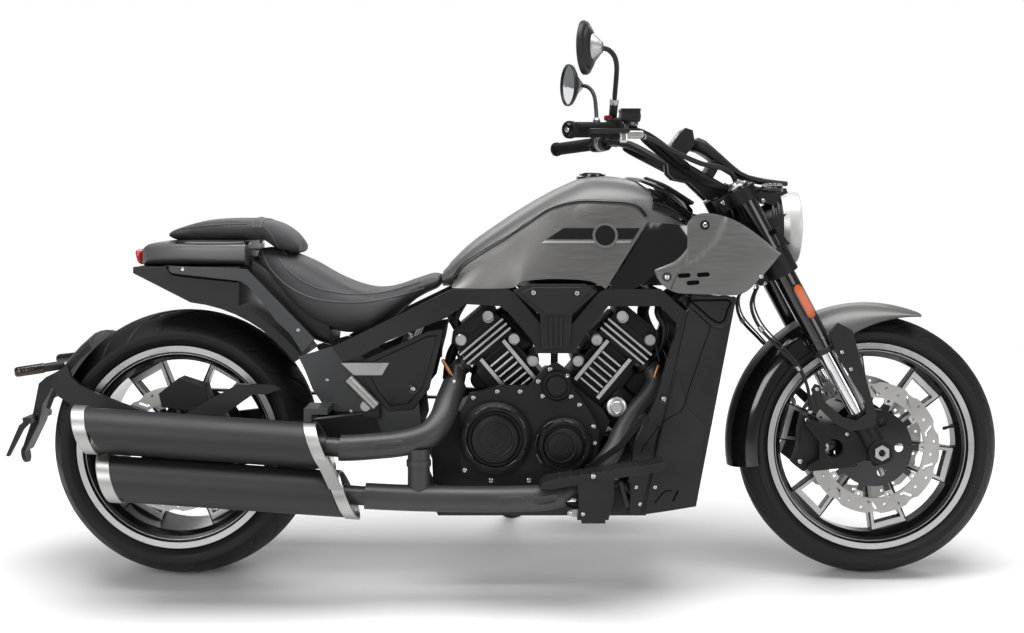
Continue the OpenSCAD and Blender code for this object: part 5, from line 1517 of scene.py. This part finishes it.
class CRUISER_OT_fork(bpy.types.Operator):
    """Adds the fork's caps, seals, reflectors and brake hoses, and the axle's nut"""

    bl_idname = "cruiser.fork"
    bl_label = "Fork"

    def execute(self, context):
        trim = Piece("fork_trim")
        for side in (-1, 1):
            y = 110 * side
            leg = fork(1, 0, y) - fork(0, 0, y)
            trim.turned([(0, -2), (24, -2), (24, 3), (20, 6), (14, 6), (13, 12), (9, 13), (0, 13)], fork(718, 0, y), leg,
                        "bolt_steel", 6 * 6)
            # Dust seal and clamp ring at the end of each black tube, and a groove ring further up
            trim.turned([(20.6, -6), (27.6, -6), (28.4, -3), (28.4, 5), (26.6, 8), (20.6, 8)], fork(274, 0, y), leg,
                        "rubber", 48)
            trim.turned([(26.4, 0), (27.6, 1), (27.6, 5), (26.4, 6)], fork(300, 0, y), leg, "gloss_black", 48)
            # Orange reflector in a dark cup, on the outer side of the tube
            out = np.array([0.25, side * 1.0, 0.12])
            out -= leg * (out @ leg)
            out /= np.linalg.norm(out)
            across = np.cross(leg, out)
            for r, half, lift, thick, finish in ((13, 46, 27.5, 4, "gloss_black"), (10.5, 43.5, 29.5, 4, "amber")):
                a = np.linspace(0, 2 * math.pi, 48, endpoint=False)
                x = np.cos(a) * r
                z = np.sin(a) * r + np.clip(np.sin(a) * 3, -1, 1) * (half - r)
                rings = [fork(404, 0, y) + out * h + k * (x[:, None] * across + z[:, None] * leg)
                         for h, k in ((lift - 6, 1), (lift + thick - 1.5, 1), (lift + thick, 0.92), (lift + thick + 0.4, 0.5))]
                trim.loft(np.array(rings), finish)
            # Axle nut with its six flats
            if side < 0:
                n = 36
                a = np.linspace(0, 2 * math.pi, n, endpoint=False)
                flat = 19 * math.cos(math.pi / 6) / np.cos((a + math.pi / 6) % (math.pi / 3) - math.pi / 6)
                place = FRONT_AXLE + [0, -144, 0]
                rows = [(8.4, 0), (8.4, 7), (None, 7), (None, -6), (8.4, -6)]
                rings = np.array([np.stack([(flat if r is None else r) * np.cos(a), 0 * a - h, (flat if r is None else r)
                                            * np.sin(a)], 1) + place for r, h in rows])
                trim.torus(rings, "bolt_steel")
        stem = fork(1, -40) - fork(0, -40)
        trim.turned([(0, -3), (21, -3), (21, 2), (17, 4), (15.5, 8), (0, 8)], fork(712, -40), stem, "bolt_steel", 36)
        trim.build("steering", sharp=30)

        hoses = Piece("front_brake_lines")
        for side in (-1, 1):
            path = curve([np.array(p) * [1, -side, 1] + FRONT_AXLE for p in HOSE], 90)
            hoses.tube(path, 4.0, "rubber", 16)
            for k in (0, 86):
                hoses.tube(path[k:k + 5], [6.2, 6.6, 6.6, 6.2, 5.4], "bolt_steel", 16)
            for k in (30, 58):
                hoses.tube(path[k:k + 4], 6.0, "satin_steel", 16)
            # Speed sensor lead beside it
            lead = path + [3, side * 6, 4] + 4 * np.sin(np.linspace(0, 5, len(path)))[:, None] * [1, 0, 0.6]
            hoses.tube(lead[4:84], 2.2, "rubber", 10)
        hoses.build("steering", "brake_hoses", slot="rubber")
        return {"FINISHED"}


LAMP = np.array([HEAD[0] + 180, 0.0, HEAD[2] - 72])


class CRUISER_OT_lamp(bpy.types.Operator):
    """Makes the headlamp's bezel, glass and inside, and the display's face"""

    bl_idname = "cruiser.lamp"
    bl_label = "Lamp and display"

    def execute(self, context):
        ahead = np.array([1.0, 0, 0])
        bezel = Piece("lamp_bezel")
        rim = [(80, -30), (86, -30), (92, -17), (93, -14), (93, 9), (92, 12.6), (90, 13.8), (85.5, 13.8), (84.6, 12.5), (80, 12.4)]
        bezel.torus(turned_rings(rim, LAMP, ahead, 120), "pale_silver")
        bezel.build("steering", sharp=30)

        inside = Piece("lamp_inside")
        inside.turned([(0, 12.2), (80, 12.2), (80, 12.8), (76, 13.4), (70, 12.9), (0, 12.9)], LAMP, ahead, "gloss_black", 96)
        for y, z in ((-36, 0), (36, 0)):
            place = LAMP + [12.6, y, z]
            inside.turned([(0, 0), (31, 0), (31, 4), (29, 5), (27, 4.6), (24, 2), (0, 1.2)], place, ahead, "chrome", 56)
            inside.turned([(0, 1), (22, 1.2), (21, 3.6), (17, 6.2), (9, 7.8), (0, 8.2)], place, ahead, "clear_lens", 48)
        a = np.linspace(0, 2 * math.pi, 128, endpoint=False)[:, None]
        b = np.linspace(0, 2 * math.pi, 10, endpoint=False)[None, :]
        ring = np.stack([14.4 + 1.6 * np.cos(b) + 0 * a, (70.5 + 1.6 * np.sin(b)) * np.cos(a),
                         (70.5 + 1.6 * np.sin(b)) * np.sin(a)], -1) + LAMP
        inside.torus(ring, "white_plastic")
        inside.build("steering")

        glass = Piece("lamp_glass")
        outer = curve([(84.4, 12.5), (83.5, 14.5), (76, 17.5), (60, 21.5), (34, 25.5), (0.02, 27)], 36)
        inner = curve([(0.02, 25.4), (34, 24), (60, 20), (75, 16), (81, 14), (81, 12.5)], 36)
        glass.torus(turned_rings(np.concatenate([outer, inner]), LAMP, ahead, 96), "clear_lens")
        glass.build("steering", "headlamp_lens", slot="clear_lens")

        face = Piece("display_face")
        a, b = HEAD + [-121, 0, 124], HEAD + [-86, 0, 170]
        way = (b - a) / np.linalg.norm(b - a)
        out = np.array([-way[2], 0, way[0]])
        q = np.linspace(0, 2 * math.pi, 72, endpoint=False)
        x = np.sign(np.cos(q)) * np.abs(np.cos(q)) ** 0.35
        z = np.sign(np.sin(q)) * np.abs(np.sin(q)) ** 0.35
        middle = (a + b) / 2
        for wx, wz, low, high, finish in ((55, 26.5, -2, 1.4, "gloss_black"), (50, 22.5, 0, 1.9, "display_glass")):
            rings = np.array([middle + out * h + k * (x[:, None] * np.array([0, wx, 0]) + z[:, None] * way * wz)
                              for h, k in ((low, 1), (high - 0.5, 1), (high, 0.985), (high, 0.5))])
            face.loft(rings, finish)
        place = middle + out * 1.9
        for r, w in ((17, 0.9), (12.5, 0.5)):
            c = np.linspace(0, 2 * math.pi, 64, endpoint=False)[:, None]
            d = np.linspace(0, 2 * math.pi, 8, endpoint=False)[None, :]
            ring = place + ((r + w * np.cos(d)) * np.cos(c))[..., None] * np.array([0, 1.0, 0]) + (
                (r + w * np.cos(d)) * np.sin(c))[..., None] * way + (0.4 * np.sin(d) + 0 * c)[..., None] * out
            face.torus(ring, "silver_paint")
        face.build("steering", sharp=30)
        return {"FINISHED"}


class CRUISER_OT_bars(bpy.types.Operator):
    """Makes the ribbed grips, switches, cables and mirror glasses"""

    bl_idname = "cruiser.bars"
    bl_label = "Bars"

    def execute(self, context):
        grips = Piece("ribbed_grips")
        h = np.linspace(0, 168, 340)
        r = 16.4 + 0.9 * np.clip(np.sin(h * 2 * math.pi / 5.2) * 2.2, -1, 1) * (np.abs(h - 84) < 72)
        r = np.where(h < 10, 19.5 - np.maximum(0, 2 - h) * 1.2, np.where(h > 158, 18.6, r))
        profile = np.concatenate([[(0, 0)], np.stack([r, h], 1), [(0, 168)]])
        trim = Piece("bar_trim")
        for side in (-1, 1):
            flip = np.array([1, -side, 1])
            a, b = bar_point(-4) * flip, bar_point(GRIP_L) * flip
            along(grips, a, b, profile, "rubber", 40)
            # End weight with its screw
            along(trim, a, b, [(0, -5), (12, -5), (14.5, -3), (15, 1), (0, 1)], "gloss_black", 40)
            along(trim, a, b, [(0, -7), (4, -7), (6, -6), (6.3, -4), (0, -4)], "bolt_steel", 24)
            # Clamp of the reservoir, bright, with two bolts, and the banjo of its hose
            middle = bar_point(GRIP_L + 24)
            along(trim, (bar_point(GRIP_L + 19)) * flip, (bar_point(GRIP_L + 36)) * flip,
                  [(22.4, 0), (23.6, 1), (23.6, 15), (22.4, 16)], "satin_steel", 48)
            out = np.array([0.9, 0.2, -0.35]) * flip
            trim.turned([(0, -4), (12, -4), (12, 6), (9, 8), (9, 12), (0, 12)], (middle + [30, 10, 16]) * flip, out,
                        "satin_steel", 36)
            trim.turned([(0, 10), (7, 10), (7, 16), (5, 17), (0, 17)], (middle + [30, 10, 16]) * flip, out, "bolt_steel", 24)
            # Switch housing with its rocker and the red stop switch
            s = bar_point(GRIP_L + 8)
            for size, place, finish in (((20, 20, 25), s + [0, 0, 2], "plastic"), ((6, 9, 5), s + [-19, 2, 8], "gloss_black"),
                                        ((10, 7, 6), s + [-14, -6, 26], "red_plastic"),
                                        ((6, 8, 5), s + [-19, 4, -10], "gloss_black")):
                trim.loft(block(size, place) * flip, finish)
            # Cables from the controls down to the steering head
            for k, (dx, dz, r0) in enumerate(((8, -14, 5.0), (14, -19, 3.6), (2, -18, 3.2))):
                path = [middle + [24, 12, 4 + 2 * k], middle + [62, 44, -2 - 3 * k], BAR_BEND + [30 + dx, 6, -6 + dz],
                        HEAD + [-150 + dx, -158, 106 + dz], HEAD + [-104 + dx, -108, 78 + dz],
                        HEAD + [-50 + dx, -66 - 6 * k, 44 + dz * 0.6], HEAD + [4 + dx, -52 - 7 * k, 12],
                        HEAD + [40 + 6 * k, -44 - 8 * k, -46], HEAD + [30 + 6 * k, -40 - 8 * k, -100]]
                trim.tube(curve(path, 96) * flip, r0, "rubber", 12, (0.1, 0.2, 1))
        grips.build("steering", "grips", slot="rubber", sharp=50)
        trim.build("steering", sharp=34)

        # Square reservoir and master cylinder with its hose, on the right bar only
        trim.loft(block((26, 25, 13), bar_point(189) + [28, 8, 31], 40, 7), "plastic")
        trim.loft(block((27, 26, 3.2), bar_point(189) + [28, 8, 45], 40, 7), "gloss_black")
        trim.loft(block((30, 13, 9), (271, -300, 1068)), "satin_steel")
        trim.loft(block((9, 9, 13), (252, -306, 1062)), "bolt_steel")
        hose = curve([(300, -262, 1066), (326, -240, 1058), (367, -200, 1040), (448, -140, 1010), (516, -90, 997),
                      (544, -66, 972), (548, -52, 930)], 220)
        trim.tube(hose, 6.0 + 0.35 * np.sin(np.arange(len(hose)) * 2.1), "rubber", 16)
        trim.tube(hose[:9], 7.4, "satin_steel", 16)
        grips.build("steering", "grips", slot="rubber", sharp=50)
        trim.build("steering", sharp=34)

        mirrors = Piece("mirror_heads")
        base = bar_point(GRIP_L + 14) + [-6, 0, 22.3]
        for side in (-1, 1):
            flip = np.array([1, -side, 1])
            stem = curve([base + p for p in ((0, 0, -8), (0, 0, 8), (2, -40, 60), (0, -104, 116), (-16, -122, 142),
                                             (-42, -133, 148))], 60) * flip
            mirrors.tube(stem, 5.6, "plastic", 16, (0.2, 1, 0.1))
            mirrors.tube(stem[2:20], 9.5, "plastic", 20, (0.2, 1, 0.1))
            mirrors.tube(stem[19:22], [10.4, 10.4, 8], "satin_steel", 20, (0.2, 1, 0.1))
            place = (base + [-66, -129, 148]) * flip
            way = np.array([math.cos(math.radians(18)), -math.sin(math.radians(18)), 0]) * flip
            mirrors.turned([(0, -4), (54.5, -4), (55, -8.4), (57, -9.2), (59, -8.4), (59.4, -3), (57, 1.5), (52, 4.5),
                            (49, 5.2), (48, 7.4), (33, 15), (31, 15.4), (0, 16)], place, way, "plastic", 72)
            mirrors.turned([(0, 14), (31, 14.4), (30, 18), (15, 31), (12, 34.5), (0, 35.5)], place, way, "satin_steel", 56)
            mirrors.turned([(0, -5.6), (34, -5.4), (54.4, -4.6), (54.4, -3.6), (0, -3.6)], place, way, "mirror_face", 72)
        mirrors.build("steering", "mirrors", slot="mirror_black", sharp=40)
        return {"FINISHED"}


def block(size, place, n=28, power=5.0):
    """A rounded block: rings of a superellipse along X that close in at both ends."""
    t = np.linspace(-1, 1, 13)
    k = (1 - np.abs(t) ** power) ** (1 / power) * 0.98 + 0.02
    x = place[0] + size[0] * t
    return box_ring(x, size[1] * k, place[2] - size[2] * k, place[2] + size[2] * k, n, power) + [0, place[1], 0]


# Small parts round the machine

LEFT_BOLTS = [(-188, 308), (-188, 392), (-136, 428), (-60, 424), (20, 419), (116, 433), (198, 394), (210, 342),
              (182, 278), (98, 252), (-10, 254), (-116, 257)]


class CRUISER_OT_small_parts(bpy.types.Operator):
    """Adds the bare plates, sensors, straps, linkages and trim round the machine"""

    bl_idname = "cruiser.small_parts"
    bl_label = "Small parts"

    def execute(self, context):
        parts = Piece("small_parts")
        # Bare bright plates above the pegs
        plate = np.array([[(-405, 536), (-291, 536)], [(-374, 507), (-308, 507)]], float)
        for side in (-1, 1):
            rows = np.array([[plate[j, 0] * (1 - t) + plate[j, 1] * t for j in (0, 1)] for t in np.linspace(0, 1, 12)])
            for y0, y1, finish in ((163.4, 165.2, "satin_steel"), (150.2, 163.4, "plastic")):
                outer = np.stack([rows[..., 0], 0 * rows[..., 0] + side * y1, rows[..., 1]], -1)
                parts.sheet(outer, outer * [1, 0, 1] + [0, side * y0, 0], finish)
            # Dark block and small steel bolts at the peg's foot
            parts.loft(block((20, 8, 17), np.array([-330, side * 163, 420])), "plastic")
        # Copper sensors on the header pipes, each with a lead
        for a, b, c in (((-138, -106, 486), (-170, -122, 545), (-150, -110, 640)),
                        ((336, -92, 466), (356, -104, 532), (352, -96, 610))):
            along(parts, a, b, [(0, 0), (8, 0), (8, 10), (6, 12), (6, 44), (4.5, 48), (4.5, 62), (0, 62)], "copper", 28)
            parts.tube(curve([b, (np.array(b) + c) / 2 + [-6, 4, 0], c], 24), 2.6, "rubber", 10, (1, 0.2, 0))
        # Bare steel plug at the front of the case
        parts.turned([(0, -40), (24, -40), (24, 0), (19, 3), (16, 3), (16, 10), (13, 12), (12, 11), (0, 11)],
                     (251, -122, 425), (0, -1, 0), "fin_metal", 48)
        # Fuel filler hinge cover and trim over the front of the tank
        stations = [(282, 30, 968, 981), (320, 46, 956, 977), (372, 50, 934, 958), (420, 44, 896, 930), (446, 34, 868, 902)]
        parts.loft(body_rings(stations, 32, 48, 3.5), "gloss_black")
        for y in (-24, 0, 24):
            parts.tube(curve([(330, y, 977), (376, y * 1.1, 959), (418, y, 934), (448, y * 1.2, 914)], 28), 4.5, "rubber", 12,
                       (0, 1, 0.01))
        # Hoses and loom between the frame's spars
        for path, r, finish in (
                ([(352, 60, 690), (330, 40, 640), (352, 20, 585), (385, -20, 560), (398, -60, 520)], 15, "rubber"),
                ([(372, -40, 690), (356, -66, 650), (372, -74, 610), (360, -70, 560), (330, -60, 520)], 9, "rubber"),
                ([(-130, 30, 690), (-150, 10, 640), (-128, -20, 590), (-150, -30, 540), (-160, -10, 480)], 13, "rubber"),
                ([(-110, -60, 680), (-136, -74, 628), (-120, -80, 584), (-128, -70, 530)], 6, "rubber"),
                ([(40, 20, 600), (74, 30, 560), (105, 10, 548), (140, 20, 570), (166, 20, 612)], 8, "rubber")):
            parts.tube(curve(path, 60), r, finish, 18, (0, 1, 0.05))
        # Rods and links under the right floorboard
        for a, b, r, finish in (((110, -222, 232), (150, -222, 226), 4, "satin_steel"),
                                ((96, -216, 252), (128, -216, 208), 6, "plastic"),
                                ((128, -216, 208), (176, -216, 196), 6, "plastic"),
                                ((250, -226, 268), (268, -214, 206), 7, "plastic")):
            parts.tube(curve([a, b], 6), r, finish, 14, (0, 1, 0.01))
        parts.build("frame", sharp=34)
        return {"FINISHED"}


class CRUISER_OT_lights(bpy.types.Operator):
    """Adds the indicators' lenses and the reflector's face"""

    bl_idname = "cruiser.lights"
    bl_label = "Lights"

    def execute(self, context):
        rear = Piece("rear_lenses")
        for side in (-1, 1):
            a, b = np.array([-1076.0, 112 * side, 526]), np.array([-1180.0, 150 * side, 512])
            length = np.linalg.norm(b - a)
            along(rear, a, b, [(10.4, length * 0.42), (12, length * 0.43), (12, length * 0.97), (10.4, length)], "smoked", 36)
            along(rear, a, b, [(0, length - 1), (10.5, length - 1), (8, length + 2.4), (0, length + 3)], "gloss_black", 36)
        tilt = np.array([math.sin(math.radians(78)), 0, math.cos(math.radians(78))])
        rear.turned([(0, -0.2), (18.4, -0.2), (18.4, -1.4), (0, -2.2)], (-1214, 0, 290), tilt, "red_lens", 48)
        rear.build("frame", sharp=34)

        front = Piece("front_indicators")
        for side in (-1, 1):
            a, b = np.array([572.0, side * 96, 940]), np.array([604.0, side * 132, 950])
            c = b + [42, side * 16, 1]
            front.tube(curve([a, b], 5), 6, "plastic", 16)
            along(front, b, c, [(0, -6), (8, -6), (10.5, 0), (10.5, 34), (9, 42), (0, 44)], "gloss_black", 32)
            along(front, b, c, [(10.4, 8), (11.2, 9), (11.2, 30), (10.4, 31)], "smoked", 32)
        front.build("steering", sharp=34)
        return {"FINISHED"}


# Stage


class CRUISER_OT_stage(bpy.types.Operator):
    """Adds the pale floor, the soft lamps and the camera"""

    bl_idname = "cruiser.stage"
    bl_label = "Stage"

    def execute(self, context):
        floor()
        world(context.scene)
        lamps(context.scene)
        camera(context.scene)
        context.scene.view_settings.view_transform = "Standard"
        return {"FINISHED"}


FLOOR_HALF = 30.0
# Distances from the middle over which the floor fades into plain white
FADE = (1.7, 3.4)


def floor():
    verts = [(-FLOOR_HALF, -FLOOR_HALF, 0), (FLOOR_HALF, -FLOOR_HALF, 0),
             (FLOOR_HALF, FLOOR_HALF, 0), (-FLOOR_HALF, FLOOR_HALF, 0)]
    mesh = bpy.data.meshes.new("floor")
    mesh.from_pydata(verts, [], [(0, 1, 2, 3)])
    obj = bpy.data.objects.new("floor", mesh)
    bpy.context.scene.collection.objects.link(obj)
    f = Finish("floor").base((0.86, 0.86, 0.86), 0.0, 0.6, specular=0.2)
    white = f.add("ShaderNodeEmission", Strength=1.0)
    white.inputs["Color"].default_value = (1, 1, 1, 1)
    path = f.add("ShaderNodeLightPath")
    distance = f.add("ShaderNodeVectorMath", operation="LENGTH")
    f.link(f.coords, "Object", distance, 0)
    fade = f.add("ShaderNodeMapRange")
    fade.interpolation_type = "SMOOTHSTEP"
    fade.inputs["From Min"].default_value = FADE[0]
    fade.inputs["From Max"].default_value = FADE[1]
    f.link(distance, "Value", fade, "Value")
    seen = f.add("ShaderNodeMath", operation="MAXIMUM")
    f.link(path, "Is Camera Ray", seen, 0)
    f.link(path, "Is Glossy Ray", seen, 1)
    share = f.add("ShaderNodeMath", operation="MULTIPLY")
    f.link(seen, "Value", share, 0)
    f.link(fade, "Result", share, 1)
    mix = f.add("ShaderNodeMixShader")
    f.link(share, "Value", mix, "Fac")
    f.tree.links.new(f.shader.outputs["BSDF"], mix.inputs[1])
    f.tree.links.new(white.outputs["Emission"], mix.inputs[2])
    f.link(mix, "Shader", f.out, "Surface")
    mesh.materials.append(f.material)
    obj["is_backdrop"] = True


def world(scene):
    """White where it is seen or seen through glass; softer as light."""
    scene.world = bpy.data.worlds.new("studio")
    scene.world.use_nodes = True
    tree = scene.world.node_tree
    tree.nodes.clear()
    out = tree.nodes.new("ShaderNodeOutputWorld")
    seen = tree.nodes.new("ShaderNodeBackground")
    seen.inputs["Color"].default_value = (1, 1, 1, 1)
    seen.inputs["Strength"].default_value = 1.0
    light = tree.nodes.new("ShaderNodeBackground")
    light.inputs["Color"].default_value = (1, 1, 1, 1)
    light.inputs["Strength"].default_value = 0.24
    path = tree.nodes.new("ShaderNodeLightPath")
    either = tree.nodes.new("ShaderNodeMath")
    either.operation = "MAXIMUM"
    tree.links.new(path.outputs["Is Camera Ray"], either.inputs[0])
    tree.links.new(path.outputs["Is Transmission Ray"], either.inputs[1])
    mix = tree.nodes.new("ShaderNodeMixShader")
    tree.links.new(either.outputs[0], mix.inputs[0])
    tree.links.new(light.outputs[0], mix.inputs[1])
    tree.links.new(seen.outputs[0], mix.inputs[2])
    tree.links.new(mix.outputs[0], out.inputs["Surface"])


# Soft boxes: name, place, target, width, height, power
SOFT_BOXES = [
    ("top_box", (0.0, -0.3, 4.2), (0.0, 0.0, 0.4), 5.0, 2.2, 250),
    ("key_box", (-2.6, -4.2, 2.6), (0.0, 0.0, 0.6), 2.4, 2.0, 85),
    ("fill_box", (3.4, -3.4, 1.8), (0.2, 0.0, 0.6), 2.2, 2.0, 40),
    ("back_box", (0.0, 4.2, 2.6), (0.0, 0.0, 0.6), 5.0, 1.6, 90),
]


def lamps(scene):
    from mathutils import Vector
    for name, place, target, width, height, power in SOFT_BOXES:
        data = bpy.data.lights.new(name, "AREA")
        data.shape = "RECTANGLE"
        data.size, data.size_y, data.energy = width, height, power
        obj = bpy.data.objects.new(name, data)
        scene.collection.objects.link(obj)
        obj.location = place
        obj.rotation_euler = (Vector(target) - Vector(place)).to_track_quat("-Z", "Y").to_euler()


FOCAL_MM = 46.58
SHIFT_Y = -0.0991


def camera(scene):
    from mathutils import Matrix
    data = bpy.data.cameras.new("camera")
    data.lens, data.shift_y = FOCAL_MM, SHIFT_Y
    obj = bpy.data.objects.new("camera", data)
    scene.collection.objects.link(obj)
    turn = Matrix([(FORWARD[i], UP[i], -LEFT[i]) for i in range(3)]).to_4x4()
    obj.matrix_world = Matrix.Translation(parked(EYE)) @ turn
    scene.camera = obj


class CRUISER_PT_panel(bpy.types.Panel):
    """Lists the steps in the sidebar"""

    bl_idname = "CRUISER_PT_panel"
    bl_label = "Cruiser"
    bl_space_type = "VIEW_3D"
    bl_region_type = "UI"
    bl_category = "Cruiser"

    def draw(self, context):
        for operator in STEPS:
            self.layout.operator(operator.bl_idname)


STEPS = [CRUISER_OT_stage, CRUISER_OT_finishes, CRUISER_OT_tank, CRUISER_OT_front_bodywork, CRUISER_OT_fenders,
         CRUISER_OT_tail, CRUISER_OT_tyres, CRUISER_OT_wheels, CRUISER_OT_exhaust, CRUISER_OT_hard_parts,
         CRUISER_OT_seats, CRUISER_OT_pad_trim, CRUISER_OT_fork, CRUISER_OT_lamp, CRUISER_OT_bars,
         CRUISER_OT_engine_trim, CRUISER_OT_small_parts, CRUISER_OT_lights, CRUISER_OT_bolts]
CLASSES = [CruiserColours, *STEPS, CRUISER_PT_panel]


def register():
    for cls in CLASSES:
        bpy.utils.register_class(cls)
    bpy.types.Scene.cruiser_colours = bpy.props.PointerProperty(type=CruiserColours)


def unregister():
    del bpy.types.Scene.cruiser_colours
    for cls in reversed(CLASSES):
        bpy.utils.unregister_class(cls)


def main():
    register()
    for operator in STEPS:
        group, name = operator.bl_idname.split(".")
        getattr(getattr(bpy.ops, group), name)()


if __name__ == "__main__":
    main()
